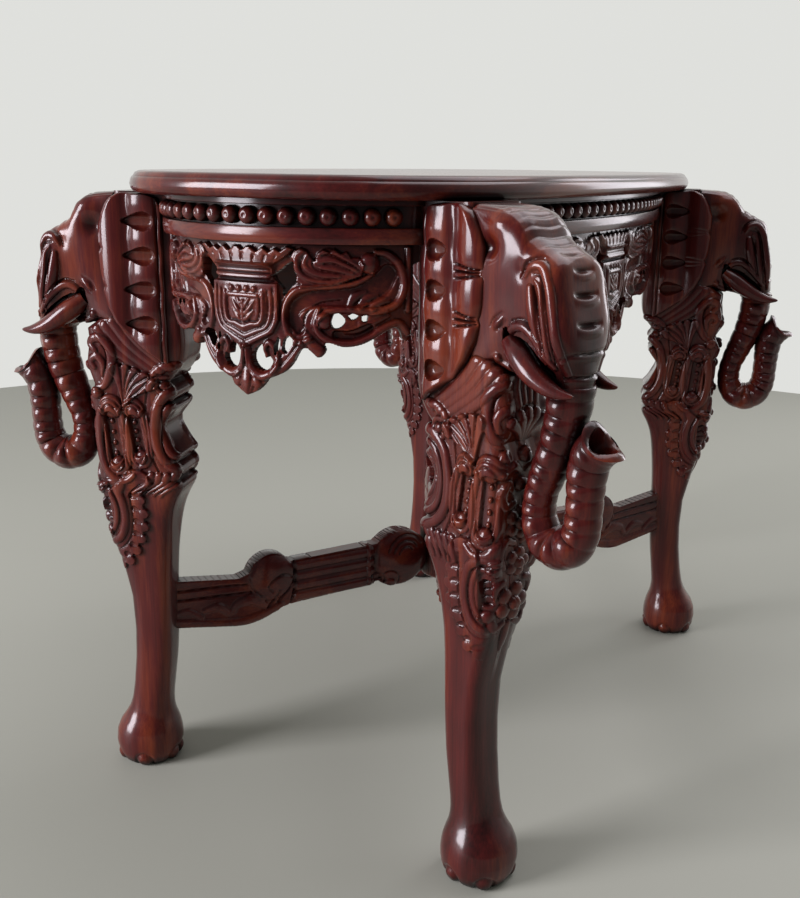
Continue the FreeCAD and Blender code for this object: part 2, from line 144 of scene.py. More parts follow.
lacquerLook = {
    # stain from the darkest tone of the wood to the warmest, each with its place on the scale of tones
    "stain": [(0.34, (0.010, 0.0011, 0.0011)),
              (0.56, (0.068, 0.0058, 0.0052)),
              (0.82, (0.205, 0.0360, 0.0100))],
    # near-black painted shade that the hollows are mixed towards
    "hollow": (0.0016, 0.0004, 0.0004),
    "fibre": 0.0024,            # width of one wood fibre
    "stretch": 22,              # fibre length over width
    "bands": 0.08,              # growth bands to each fibre
    "patches": 7,               # cloudy patches to a metre
    "tone": {"band": 0.55, "fibre": 0.25, "patch": 0.35},
    "edge": 0.004,              # how far a rubbed edge reaches
    "rub": 0.10,                # how much warmer it is
    "recess": 0.015,            # how far the occlusion reaches that paints shade into a hollow
    "depth": 2.3,               # how fast the painted shade deepens
    "backShade": 0.6,            # how much darker painted shade makes the backs without lacquer
    "roughness": (0.40, 0.10),  # of the wood, and what its fibres add
    "sheen": 0.08,              # soft gloss of the wood under the lacquer
    "coat": (0.3, 0.7),         # lacquer in the deepest hollows, and what open surfaces have more
    "coatRoughness": 0.16,
    "coatIndex": 1.40,
    "lift": (0.08, 0.0006),     # strength and height of the grain in the surface
}


def lacqueredWood(name, grain, look=lacquerLook):
    # stained hardwood under clear gloss lacquer, with its grain along one axis of the table, painted shade
    # in its hollows and on its unlacquered backs
    paint = Paint(name)

    def stretched(scale):
        return paint.node("ShaderNodeMapping", {}, {"Vector": paint.place, "Scale": scale})

    def openness(reach, **settings):
        return paint.node("ShaderNodeAmbientOcclusion", settings, {"Distance": reach}, "AO")

    scale = [1 / look["fibre"]] * 3
    scale[grain] /= look["stretch"]
    fibre = paint.noise(stretched(scale), 1, 3, Roughness=0.6)
    band = paint.noise(stretched([look["bands"] * s for s in scale]), 1, 2, Distortion=0.6)
    patch = paint.noise(paint.place, look["patches"], 2)
    share = look["tone"]
    tone = band * share["band"] + fibre * share["fibre"] + patch * share["patch"]
    rubbed = openness(look["edge"], samples=4, inside=True)
    tone += (1 - rubbed) * look["rub"]
    wood = paint.node("ShaderNodeValToRGB", {"stops": look["stain"]}, {0: tone})
    # occlusion that paints shade into hollows and thins the lacquer there
    shelter = openness(look["recess"], samples=6)
    # backs of the crest, left without lacquer and darkened as painted shade
    bare = paint.node("ShaderNodeAttribute", {"attribute_name": "bare"}, output="Fac")
    # painted shade: hollows and the crest's bare backs are mixed towards the near-black
    colour = paint.mix(shelter ** look["depth"] * (1 - bare * look["backShade"]), look["hollow"], wood)
    ground, fibres = look["roughness"]
    least, more = look["coat"]
    strength, height = look["lift"]
    bump = {"Strength": strength, "Distance": height, "Height": fibre + band}
    lift = paint.node("ShaderNodeBump", {}, bump)
    return paint.finish(Base_Color=colour, Roughness=ground + fibre * fibres, Normal=lift,
                        Specular_IOR_Level=look["sheen"], Coat_Weight=(least + shelter * more) * (1 - bare),
                        Coat_Roughness=look["coatRoughness"], Coat_IOR=look["coatIndex"])


hiddenLook = {
    "stain": [(0.35, (0.012, 0.005, 0.003)), (0.65, (0.035, 0.014, 0.008))],
    "grain": (260, 260, 14),    # fibres to a metre
    "roughness": (0.55, 0.2),
    "sheen": 0.1,
}


def hiddenWood(name, look=hiddenLook):
    # dull, very dark wood of the blocks and dowels
    paint = Paint(name)
    run = paint.node("ShaderNodeMapping", {}, {"Vector": paint.place, "Scale": look["grain"]})
    fibre = paint.noise(run, 1, 4)
    wood = paint.node("ShaderNodeValToRGB", {"stops": look["stain"]}, {0: fibre})
    ground, fibres = look["roughness"]
    return paint.finish(Base_Color=wood, Roughness=ground + fibre * fibres,
                        Specular_IOR_Level=look["sheen"])


steelLook = {"colour": (0.42, 0.41, 0.39), "grime": 900, "roughness": (0.25, 0.25)}


def screwSteel(name, look=steelLook):
    paint = Paint(name)
    grime = paint.noise(paint.place, look["grime"], 2)
    clean, dirty = look["roughness"]
    return paint.finish(Base_Color=look["colour"], Metallic=1.0, Roughness=clean + grime * dirty)


uprightLacquer = lacqueredWood("lacquered carving, upright grain", 2)
longLacquer = lacqueredWood("lacquered carving, long grain", 0)
crossLacquer = lacqueredWood("lacquered carving, cross grain", 1)
topLacquer = lacqueredWood("lacquered top", 0)
blockWood = hiddenWood("very dark wood of blocks and dowels")
steel = screwSteel("screw steel")
print("finishes ready")

# Shaping helpers, all in millimetres until a piece is set in its place

strokeStep = 0.9        # spacing of points along a carved stroke
rimStep = 0.4           # spacing of points along an outline
rimDrop = 0.3           # how far the rim of a slab rolls back, as a share of the roll's width
mergeReach = 0.0005     # points nearer than this are one


def smoothRun(points, step, dims=2):
    # an easy curve through given points; columns after the first dims ride along
    p = np.array(points, float)
    if len(p) == 1:
        return p
    p = np.vstack([2 * p[0] - p[1], p, 2 * p[-1] - p[-2]])
    run = []
    for a, b, c, d in zip(p, p[1:], p[2:], p[3:]):
        count = max(2, int(np.linalg.norm((c - b)[:dims]) / step))
        f = np.linspace(0, 1, count, endpoint=False)[:, None]
        run.append(b + 0.5 * f * (c - a + f * (2 * a - 5 * b + 4 * c - d + f * (3 * (b - c) + d - a))))
    return np.vstack(run + [p[-2:-1]])


def along(pairs, places, smooth=True):
    # the value of a drawn edge at each place
    line = smoothRun(pairs, 2.0) if smooth else np.array(pairs, float)
    return np.interp(places, line[:, 0], line[:, 1])


def ease(low, high, values):
    f = np.clip((values - low) / (high - low), 0, 1)
    return f * f * (3 - 2 * f)


def squareOval(halfA, halfB, squareness, count):
    # evenly spaced points round a squarish oval, from the middle of its +a side
    angle = np.linspace(0, 2 * np.pi, 1441)     # every quarter of a degree
    c, s = np.cos(angle), np.sin(angle)
    a = halfA * np.sign(c) * np.abs(c) ** (2 / squareness)
    b = halfB * np.sign(s) * np.abs(s) ** (2 / squareness)
    run = np.concatenate([[0], np.cumsum(np.hypot(np.diff(a), np.diff(b)))])
    even = np.linspace(0, run[-1], count, endpoint=False)
    return np.interp(even, run, a), np.interp(even, run, b)


def skinNormals(rings):
    down = np.gradient(rings, axis=0)
    ahead = np.roll(rings, -1, axis=1) - np.roll(rings, 1, axis=1)
    normal = np.cross(ahead, down)
    normal /= np.maximum(np.linalg.norm(normal, axis=2, keepdims=True), 1e-9)
    outward = rings - rings.mean(axis=1, keepdims=True)
    return normal * np.sign((normal * outward).sum(axis=(1, 2)))[:, None, None]


def swell(away, radius):
    # round back, as high as half its width
    return np.sqrt(np.maximum(radius ** 2 - away ** 2, 0))


def shelf(away, radius, edge=2.2):
    # flat top with an eased edge, 1 mm high
    return ease(0, edge, radius - away)


def cut(away, radius):
    # groove with a sharp bottom, as deep as half its width
    return np.maximum(radius - away, 0)


def strokeHeight(flat, strokes, profile):
    # the highest of a set of strokes over each point of a flat drawing
    height = np.zeros(len(flat))
    for stroke in strokes:
        run = smoothRun(stroke, strokeStep)
        reach = run[:, 2].max()
        low = run[:, :2].min(0) - reach
        high = run[:, :2].max(0) + reach
        near = np.nonzero(((flat > low) & (flat < high)).all(1))[0]
        if len(near):
            away = np.hypot(flat[near, None, 0] - run[None, :, 0], flat[near, None, 1] - run[None, :, 1])
            height[near] = np.maximum(height[near], profile(away, run[:, 2]).max(1))
    return height


def carve(flat, layers):
    # each layer is a profile, its share of height and its strokes, and stands on the layers before it
    rise = np.zeros(len(flat))
    for profile, share, strokes in layers:
        rise += share * strokeHeight(flat, strokes, profile)
    return rise


def edgeDistance(flat, outlines):
    # distance in from closed outlines, negative outside or in a hole, and the nearest point of an outline
    inside = np.zeros(len(flat), bool)
    dots = []
    for outline in outlines:
        closed = np.vstack([outline, outline[:1]])
        for a, b in zip(closed, closed[1:]):
            count = max(1, int(np.hypot(*(b - a)) / rimStep))
            dots.append(a + np.linspace(0, 1, count, endpoint=False)[:, None] * (b - a))
            if a[1] != b[1]:
                crosses = (a[1] > flat[:, 1]) != (b[1] > flat[:, 1])
                edge = a[0] + (flat[:, 1] - a[1]) * (b[0] - a[0]) / (b[1] - a[1])
                inside ^= crosses & (flat[:, 0] < edge)
    dots = np.vstack(dots)
    tree = KDTree(len(dots))
    for k, (x, y) in enumerate(dots):
        tree.insert((x, y, 0), k)
    tree.balance()
    found = [tree.find((x, y, 0)) for x, y in flat]
    away = np.array([hit[2] for hit in found])
    return np.where(inside, away, -away), dots[[hit[1] for hit in found]]


def arc(a, b, reach, start, end, radius, count=7):
    # part of a circle as a stroke, in degrees
    turns = np.radians(np.linspace(start, end, count))
    return [(a + reach * math.cos(t), b + reach * math.sin(t), radius) for t in turns]


def meshPiece(name, points, faces):
    mesh = bpy.data.meshes.new(name)
    mesh.from_pydata(np.asarray(points).reshape(-1, 3).tolist(), [], faces)
    piece = bpy.data.objects.new(name, mesh)
    bpy.context.scene.collection.objects.link(piece)
    return piece


def carvedSlab(name, outlines, relief, front, back, step, roll, twoFaced=False):
    # a pierced board on a fine grid, as distance along, depth and height: its edge lies on the outlines,
    # rolls over at the rim, and relief lifts its front face, or both faces
    corners = np.vstack(outlines)
    ends = zip(corners.min(0), corners.max(0))
    a, b = [np.arange(low - step, high + 2 * step, step) for low, high in ends]
    grid = np.stack(np.meshgrid(a, b, indexing="ij"), -1).reshape(-1, 2)
    inward, nearest = edgeDistance(grid, outlines)
    index = np.arange(len(grid)).reshape(len(a), len(b))
    quads = np.stack([index[:-1, :-1], index[1:, :-1], index[1:, 1:], index[:-1, 1:]], -1).reshape(-1, 4)
    quads = quads[(inward > -0.5 * step)[quads].all(1)]
    used, quads = np.unique(quads, return_inverse=True)
    quads = quads.reshape(-1, 4)
    place = np.where((np.abs(inward) < 0.5 * step)[:, None], nearest, grid)[used]
    rim = 1 - np.clip(inward[used] / roll, 0, 1)
    lift = relief(place) - rimDrop * roll * rim ** 2
    faces = [np.stack([place[:, 0], front - lift, place[:, 1]], -1),
             np.stack([place[:, 0], back + lift * twoFaced, place[:, 1]], -1)]
    sides = np.stack([quads, np.roll(quads, -1, 1)], -1).reshape(-1, 2)
    first, count = np.unique(np.sort(sides, 1), axis=0, return_index=True, return_counts=True)[1:]
    start, end = sides[first[count == 1]].T
    walls = np.stack([start, end, end + len(used), start + len(used)], -1)
    allFaces = np.vstack([quads, quads[:, ::-1] + len(used), walls])
    return tidy(meshPiece(name, np.vstack(faces), allFaces.tolist()))


def skinRings(name, rings):
    # quads from ring to ring, with flat ends
    rows, count = rings.shape[:2]
    lower = np.arange(rows - 1)[:, None] * count
    upper = lower + count
    here = np.arange(count)[None, :]
    after = (here + 1) % count
    quads = np.stack([lower + here, lower + after, upper + after, upper + here], -1)
    faces = quads.reshape(-1, 4).tolist()
    faces.append(list(range(count))[::-1])
    faces.append(list(range((rows - 1) * count, rows * count)))
    return tidy(meshPiece(name, rings, faces))


def pick(piece):
    bpy.ops.object.select_all(action="DESELECT")
    piece.select_set(True)
    bpy.context.view_layer.objects.active = piece


def tidy(piece, angle=50):
    # merges doubles, turns faces outwards and smooths all but the sharp edges
    pick(piece)
    bpy.ops.object.mode_set(mode="EDIT")
    bpy.ops.mesh.select_all(action="SELECT")
    bpy.ops.mesh.remove_doubles(threshold=mergeReach)
    bpy.ops.mesh.normals_make_consistent(inside=False)
    bpy.ops.object.mode_set(mode="OBJECT")
    bpy.ops.object.shade_smooth_by_angle(angle=math.radians(angle))
    return piece


def applyModifier(piece, kind, **settings):
    pick(piece)
    modifier = piece.modifiers.new(kind.lower(), kind)
    for name, value in settings.items():
        setattr(modifier, name, value)
    bpy.ops.object.modifier_apply(modifier=modifier.name)


def joinUp(pieces):
    pick(pieces[0])
    for piece in pieces[1:]:
        piece.select_set(True)
    bpy.ops.object.join()
    return pieces[0]


def reshape(piece, change):
    # moves all points of a mesh at once
    co = np.empty(len(piece.data.vertices) * 3)
    piece.data.vertices.foreach_get("co", co)
    piece.data.vertices.foreach_set("co", np.ascontiguousarray(change(co.reshape(-1, 3))).ravel())
    piece.data.update()


def setPlace(pattern, name, matrix, node, finish):
    # a copy with its own mesh, moved to its place in the table
    piece = bpy.data.objects.new(name, pattern.data.copy())
    bpy.context.scene.collection.objects.link(piece)
    piece.data.transform(matrix)
    piece.data.name = name
    piece.data.materials.clear()
    piece.data.materials.append(finish)
    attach(piece, "root")
    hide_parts(node)


def discard(piece):
    bpy.data.meshes.remove(piece.data)


def mirrored(strokes):
    return strokes + [[(-a, b, r) for a, b, r in stroke] for stroke in strokes]


# Legs. Each is drawn in its own frame: s outwards the way the elephant faces, t to its left, z up

legPlaces = {
    "turn": 72.1,           # degrees from the long axis to the way an elephant faces
    "foot": (390, 250),     # middle of a foot
    "corners": {"left_back": (-1, 1), "left_front": (-1, -1), "right_front": (1, -1), "right_back": (1, 1)},
}


def legMatrix(corner):
    sx, sy = legPlaces["corners"][corner]
    turn = math.radians(legPlaces["turn"])
    heading = math.atan2(sy * math.sin(turn), sx * math.cos(turn))
    x, y = legPlaces["foot"]
    foot = Matrix.Translation((sx * x * mm, sy * y * mm, 0))
    return foot @ Matrix.Rotation(heading, 4, "Z") @ Matrix.Scale(mm, 4)


def setOnLegs(pattern, name, node, finish, corners=tuple(legPlaces["corners"])):
    for corner in corners:
        setPlace(pattern, name + "_" + corner, legMatrix(corner), node + "_" + corner, finish)
    discard(pattern)


post = {
    # edges as height and outward distance, from the floor up
    "front": [(0, 33), (5, 37.5), (15, 41.5), (29, 43), (43, 41.5), (55, 36.5), (66, 28.5), (77, 22),
              (90, 17.5), (113, 13), (153, 8), (194, 6), (240, 8), (290, 19), (325, 29), (355, 33),
              (396, 38), (430, 37), (488, 38), (506, 44), (523, 36), (548, 45), (578, 40), (592, 41),
              (604, 24), (613, -5), (756, -5)],
    # the back edge is a row of coves and beads that meet at sharp corners
    "back": [[(0, -35), (5, -39.5), (15, -43), (29, -44), (43, -42.5), (55, -39.5), (66, -36),
              (77, -34.5), (90, -34.5), (113, -37), (153, -41.5), (194, -44), (254, -46), (290, -48),
              (322, -51), (344, -54), (361, -58), (376, -64), (387, -70), (394, -73)],
             [(394, -73), (399, -71.5), (404, -65)], [(404, -65), (408, -69.5), (415, -73.5)],
             [(415, -73.5), (421, -71.5), (427, -66)], [(427, -66), (431, -70), (437, -73.5)],
             [(437, -73.5), (442, -70), (452, -62), (464, -55.5), (474, -53.5), (482, -56), (490, -62),
              (496, -69)],
             [(496, -69), (500, -67.5), (503, -62)], [(503, -62), (509, -67), (516, -69.5)],
             [(516, -69.5), (523, -66), (529, -60)],
             [(529, -60), (541, -72), (554, -80.5), (566, -84), (582, -85), (602, -84), (625, -83),
              (756, -83)]],
    "half": [(0, 33), (5, 37.5), (15, 41.5), (29, 43), (43, 41.5), (55, 37.5), (66, 32), (77, 28.5),
             (90, 27), (113, 26.5), (240, 27), (290, 28), (325, 30), (355, 33), (396, 36), (430, 37),
             (600, 38), (756, 38)],
    "squareness": [(0, 2.2), (60, 2.2), (92, 2.7), (150, 3.2), (300, 3.8), (396, 6), (600, 7), (756, 9)],
    # mesh rows as start, end and step
    "rows": [(0, 30, 1.5), (30, 90, 2.5), (90, 270, 5.0), (270, 614, 0.9), (614, 756, 8.0)],
    "around": 400,
    "keep": 0.44,           # share of the fine mesh that is kept
    "nails": (-166, -100, -36, 36, 100, 166),       # degrees round the foot
    # the groove round a nail is as wide as it is deep
    "nail": {"reach": 36, "back": 1, "height": 9, "radius": 10, "tall": 0.9, "rise": 2.4, "groove": 1.8},
    # where the carving sets in: half width on the flank, facing on the front, and where the front's ends
    "gates": {"flank": (18, 30), "face": (0.25, 0.8), "top": 598},
    "kneeLine": (385, 405),     # heights between which the shank carving gives way to the knee's
    # how far outwards the carver set the knee and the shank carving, on two pairs of legs
    "sets": [(("left_front", "right_back"), 5, 4), (("left_back", "right_front"), -12, 5)],
}


def neckStrands():
    # strands that sweep back and down from the neck
    strands = []
    for f, radius in zip(np.linspace(0, 1, 4), (6.8, 6.2, 6.0, 5.6)):
        start = (4 + 32 * f, 607 - 15 * f, radius)
        middle = (-18 + 31 * f, 579 - 12 * f, radius + 0.4)
        end = (-56 + 30 * f, 549 - 9 * f, radius - 0.6)
        strands.append([start, middle, end])
    return strands


def fan(base, tips, radius):
    # petals that rise from one point, sweep out to round tips and touch each other
    lobes = []
    for tip in tips:
        bend = (0.62 * base[0] + 0.38 * tip[0], 0.45 * base[1] + 0.55 * tip[1] + 2)
        lobes.append([(*base, 0.4 * radius), (*bend, 0.75 * radius), (*tip, radius)])
    return lobes


def hood(a, b, reaches, radius=1.7, start=-35, end=155):
    # nested grooves that open downwards
    return [arc(a, b, reach, start, end, radius) for reach in reaches]


def podStrokes(cap, foot, width):
    # a long cartouche as its rims and channel, from its cap down to the ball in its foot
    near, far = 4.8, 3.0
    middle = 0.5 * (cap[1] + foot[1])

    def rim(wide, start, bulge, radius, tip):
        return [(cap[0] + wide, cap[1] - start, radius), (foot[0] + wide - bulge, middle, radius),
                (foot[0] + wide, foot[1] + 4, radius), (foot[0] + 0.6 * wide, foot[1] - 8, radius),
                (foot[0], foot[1] - 12, tip)]

    rims = [rim(-width, 4, 1, near, 0.8 * near), rim(width, 10, 0, far, far)]
    channel = [(cap[0] + 1, cap[1] - 12, 0.66 * width), (foot[0] + 1, foot[1] + 8, 0.66 * width)]
    beads = []
    for f in (0.1, 0.34, 0.58, 0.82):
        s = cap[0] + 2 + f * (foot[0] - cap[0])
        beads.append([(s, cap[1] - 12 + f * (foot[1] + 14 - cap[1]), 3.4)])
    return rims, channel, beads


def flankLayers():
    innerRims, innerChannel, innerBeads = podStrokes((-7, 494), (-13, 434), 12)
    outerRims, outerChannel, outerBeads = podStrokes((23, 495), (18, 424), 14)
    shelves = [
        # leaf on the shank, with a scalloped edge
        [(-6, 396, 23), (-8, 366, 23), (-7, 340, 22), (1, 316, 18), (8, 300, 15)],
    ]
    scallops = [(-26, 378), (-29, 360), (-28, 342), (-23, 325), (-15, 308), (-5, 293), (8, 285), (20, 290)]
    shelves += [[(s, z, 8)] for s, z in scallops]
    # broad leaf over the cartouches, with grooves that spread from its foot
    leafTips = [(-34, 528), (-24, 536), (-12, 541), (1, 544), (13, 545)]
    shelves += fan((4, 500), leafTips, 8.2)
    pads = innerRims + outerRims + [
        # curl behind the fan
        [(-64, 552, 5), (-48, 549, 6), (-36, 538, 6), (-30, 522, 4)],
        arc(-47, 527, 10, 70, 330, 3.4),
        # great scroll at the back edge, in three bands
        [(-80, 523, 6), (-56, 520, 6.4), (-39, 502, 6.4), (-33, 470, 6.4), (-38, 441, 6.4),
         (-53, 423, 6.4), (-80, 412, 6)],
        [(-78, 508, 4.4), (-59, 506, 4.4), (-48, 493, 4.4), (-44, 470, 4.4), (-48, 447, 4.4),
         (-60, 434, 4.4), (-80, 427, 4.4)],
        [(-76, 495, 4), (-64, 488, 4.4), (-57, 470, 4.4), (-63, 453, 4.4), (-78, 446, 4)],
        # broad outer edge of the outer cartouche
        [(37, 492, 5), (41, 470, 6), (41, 445, 6), (36, 421, 6), (24, 405, 5.5), (8, 402, 4.5),
         (-4, 411, 3.5)],
        # scroll at the front of the shank
        [(36, 398, 5), (18, 399, 5.6), (3, 389, 5.6), (-4, 368, 5.6), (-4, 347, 5.6), (3, 328, 5.6),
         (17, 317, 5), (30, 321, 4)],
        [(26, 388, 3), (14, 386, 3.6), (7, 369, 3.6), (7, 349, 3.6), (13, 334, 3)],
        # hooked leaf under the neck, with two curled tips and a tail round its ball
        [(40, 566, 4), (47, 575, 5), (36, 582, 6), (22, 574, 7), (18, 558, 7), (22, 538, 6.4),
         (30, 523, 5), (40, 520, 4)],
        [(42, 545, 3.5), (47, 553, 4.4), (38, 559, 5), (30, 550, 5), (30, 537, 4)],
    ]
    # row of petals under the great scroll
    for k in range(5):
        pads.append([(-66 + 10 * k, 411, 5.4), (-60 + 9.5 * k, 399, 5), (-53 + 9 * k, 384 + k, 2.5)])
    domes = [[(-7, 496, 14)], [(23, 497, 16)], [(33, 390, 11)]]
    balls = [[(40, 513, 8)], [(-47, 527, 6)], [(-14, 434, 9)], [(18, 424, 9.5)], [(20, 333, 8)]]
    pockets = [innerChannel, outerChannel, [(21, 371, 7), (21, 351, 7)]]
    # row of pits inside the scalloped edge
    leafPits = [(-21, 382), (-23, 365), (-24, 348), (-22, 331), (-16, 315), (-8, 301), (3, 293)]
    pits = [[(s - 1, z - 0.5, 2.2), (s + 6, z + 1.5, 4.2)] for s, z in leafPits]
    grooves = hood(-7, 492, (7, 12), 2) + hood(23, 493, (7.5, 13.5), 2) + hood(33, 388, (5, 9))
    for (s, z), (nextS, nextZ) in zip(leafTips, leafTips[1:]):
        grooves += fan((4, 502), [(0.5 * (s + nextS), 0.5 * (z + nextZ) + 5)], 2.6)
    grooves += [[(34, 577, 1.4), (26, 566, 1.7), (25, 550, 1.7), (30, 534, 1.4)]]
    grooves += [[(15, z, 1.5), (27, z + 1.5, 1.9)] for z in (346, 355, 364, 373)]
    grooves += [
        # dark lines round the great shapes
        [(-26, 520, 1.8), (-22, 495, 2), (-24, 465, 2), (-27, 438, 2), (-36, 416, 2)],
        [(4, 485, 1.8), (6, 460, 2), (5, 435, 2), (-1, 415, 1.8)],
        [(31, 486, 1.6), (34, 465, 1.8), (34, 440, 1.8), (30, 420, 1.6)],
        [(-44, 541, 1.8), (-30, 532, 2), (-14, 517, 2), (4, 504, 1.8)],
        [(-14, 399, 1.8), (-13, 380, 2), (-14, 350, 2), (-9, 326, 2), (4, 310, 2), (22, 306, 1.8)],
    ]
    return [(shelf, 4.2, shelves), (swell, 0.42, neckStrands()), (swell, 0.66, pads), (swell, 0.45, domes),
            (shelf, -4.6, pockets), (swell, -0.6, pits), (swell, 0.8, balls + innerBeads + outerBeads),
            (cut, -1.0, grooves)]


def faceLayers():
    # the front face, drawn as sideways and height
    def petals(height, count, reach, radius):
        flower = []
        for turn in np.linspace(0, 2 * math.pi, count, endpoint=False):
            tip = (reach * math.cos(turn), height + reach * math.sin(turn), radius)
            flower.append([(0, height, radius / 2), tip])
        return flower

    pads = petals(347, 5, 14, 9.5) + petals(393, 5, 10, 7.5) + petals(436, 5, 11, 8.0)
    pads += [[(0, 320, 5), (0, 302, 5.5), (0, 286, 2.5)]]
    pads += fan((0, 513), [(-23, 545), (-12, 552), (0, 554), (12, 552), (23, 545)], 6.4)
    pads += mirrored([
        [(6, 415, 4), (18, 418, 5), (26, 404, 5.5), (20, 390, 4)],
        [(8, 458, 4), (20, 456, 5), (26, 468, 5.5), (18, 480, 5), (12, 474, 4)],
        [(6, 494, 4), (16, 500, 5.5), (26, 494, 5)],
        [(16, 372, 4), (26, 366, 5.5), (28, 350, 5)],
        [(8, 322, 4), (18, 318, 5.5), (24, 326, 5)],
        [(4, 565, 4), (5, 582, 4.4), (4, 597, 3)],
        [(12, 562, 4), (14, 580, 4.4), (13, 596, 3)],
    ])
    balls = [[(0, height, radius)] for height, radius in ((347, 8), (393, 6), (436, 7), (478, 9), (510, 8))]
    return [(swell, 0.62, pads), (swell, 0.9, balls)]


def toeNails(points):
    # round nails at the sole, each with a groove round it
    nail = post["nail"]
    rise = np.zeros(len(points))
    for degrees in post["nails"]:
        angle = math.radians(degrees)
        s, t = nail["reach"] * math.cos(angle) - nail["back"], nail["reach"] * math.sin(angle)
        away = np.linalg.norm((points - (s, t, nail["height"])) * (1, 1, nail["tall"]), axis=1)
        rise += nail["rise"] * (1 - ease(0.5 * nail["radius"], nail["radius"], away))
        rise -= nail["groove"] * np.exp(-((away - 1.15 * nail["radius"]) / nail["groove"]) ** 2)
    return rise


def carvedPost(knee, shank):
    # knee and shank say how far outwards their carving is set
    top = post["rows"][-1][1]
    heights = np.concatenate([np.arange(*run) for run in post["rows"]] + [[top]])
    front = along(post["front"], heights, False)
    back = along(np.vstack([smoothRun(run, 1.0) for run in post["back"]]), heights, False)
    half = along(post["half"], heights)
    squareness = along(post["squareness"], heights, False)
    rings = []
    for z, f, b, h, n in zip(heights, front, back, half, squareness):
        a, t = squareOval((f - b) / 2, h, n, post["around"])
        rings.append(np.stack([(f + b) / 2 + a, t, np.full_like(a, z)], -1))
    rings = np.array(rings)
    normal = skinNormals(rings)
    points = rings.reshape(-1, 3)
    gates = post["gates"]
    flank = ease(*gates["flank"], np.abs(points[:, 1]))
    forward = ease(*gates["face"], normal.reshape(-1, 3)[:, 0]) * (points[:, 2] < gates["top"])
    shift = shank + (knee - shank) * ease(*post["kneeLine"], points[:, 2])
    side = np.stack([points[:, 0] - shift, points[:, 2]], -1)
    rise = np.zeros(len(points))
    for layers, flat, gate in ((flankLayers(), side, flank), (faceLayers(), points[:, [1, 2]], forward)):
        relief = gate * carve(flat, layers)
        rise = np.where(np.abs(relief) > np.abs(rise), relief, rise)
    rise += toeNails(points)
    carved = rings + normal * rise.reshape(rings.shape[:2])[..., None]
    carved[..., 2] = np.clip(carved[..., 2], 0, top)
    piece = skinRings("post pattern", carved)
    applyModifier(piece, "DECIMATE", ratio=post["keep"])
    return tidy(piece)


head = {
    # ridge from the seat to the trunk, and the underside that goes with it, as outward distance and height
    "crown": [(-5, 755), (27, 753), (42, 747), (52, 737), (60, 726), (78, 715), (95, 704), (101, 680),
              (107, 655), (111, 632), (115.5, 605), (118, 588)],
    "chin": [(-5, 598.5), (26, 598.5), (42, 598), (48, 597.5), (52, 597), (57, 596), (61, 595), (64, 594),
             (66, 593), (68, 592), (70, 590), (71, 588)],
    # half outlines from crown to chin, as share of the way and half width
    "seat": [(0, 0), (0.0, 25), (0.02, 34), (0.08, 37.5), (0.5, 37.5), (0.92, 37.5), (0.98, 34), (1, 25),
             (1, 0)],
    "cheek": [(0, 0), (0.0, 19), (0.03, 29), (0.08, 35), (0.14, 37.5), (0.22, 38), (0.32, 37.4),
              (0.45, 36.2), (0.62, 34.5), (0.8, 31.5), (0.93, 27), (1, 18), (1, 0)],
    "rows": 200, "side": 160,   # mesh points from the seat to the trunk, and down each half outline
    "keep": 0.50,
    # how far the carver let each forehead stand forward, and where that sets in
    "push": {"left_back": -6, "left_front": 6, "right_front": 2, "right_back": 0},
    "pushFrom": {"reach": (10, 55), "height": (588, 630)},
    "seatEnd": (0.02, 0.22),    # share of the way from the seat at which the cheek takes over
    "tubeStart": (0.70, 1.0),   # and at which it becomes the round root of the trunk
    "tubeHalf": 25.0,
    "cheekFacing": (0.3, 0.7),
    "ringFacing": (0.86, 0.99),
    "ringShare": 0.34,          # how far down each half outline the ring lines reach
    "ringBow": 0.005,
    # ring lines across the forehead as distance from the seat, depth, width and half breadth
    "rings": [(34, 0.9, 1.9, 36), (46, 0.9, 1.9, 36), (58, 1.0, 1.9, 36), (70, 1.0, 1.9, 36),
              (82, 1.0, 1.9, 36), (95, 1.2, 2.2, 34), (111, 2.4, 2.5, 15), (130, 3.4, 2.6, 16),
              (153, 4.6, 2.8, 19), (181, 4.6, 2.8, 20), (207, 2.0, 1.5, 40), (229, 2.0, 1.5, 40),
              (248, 2.0, 1.5, 40)],
    # soft swellings and hollows of the cheek as outward place, height, two spreads and rise
    "swells": [(20, 715, 11, 10, -7.5), (30, 737, 14, 9, 3.0), (34, 692, 22, 62, 4.0),
               (62, 697, 7, 9, -2.0), (84, 655, 14, 34, 1.5), (44, 606, 12, 7, 2.0)],
}


def halfOutline(pairs, count):
    # evenly spaced points, with shares drawn as hundredths so that they weigh as much as millimetres
    line = smoothRun([(100 * v, w) for v, w in pairs], 1.0)
    run = np.concatenate([[0], np.cumsum(np.hypot(*np.diff(line, axis=0).T))])
    even = np.linspace(0, run[-1], count)
    share, half = [np.interp(even, run, column) for column in line.T]
    return np.stack([share / 100, np.maximum(half, 0)])


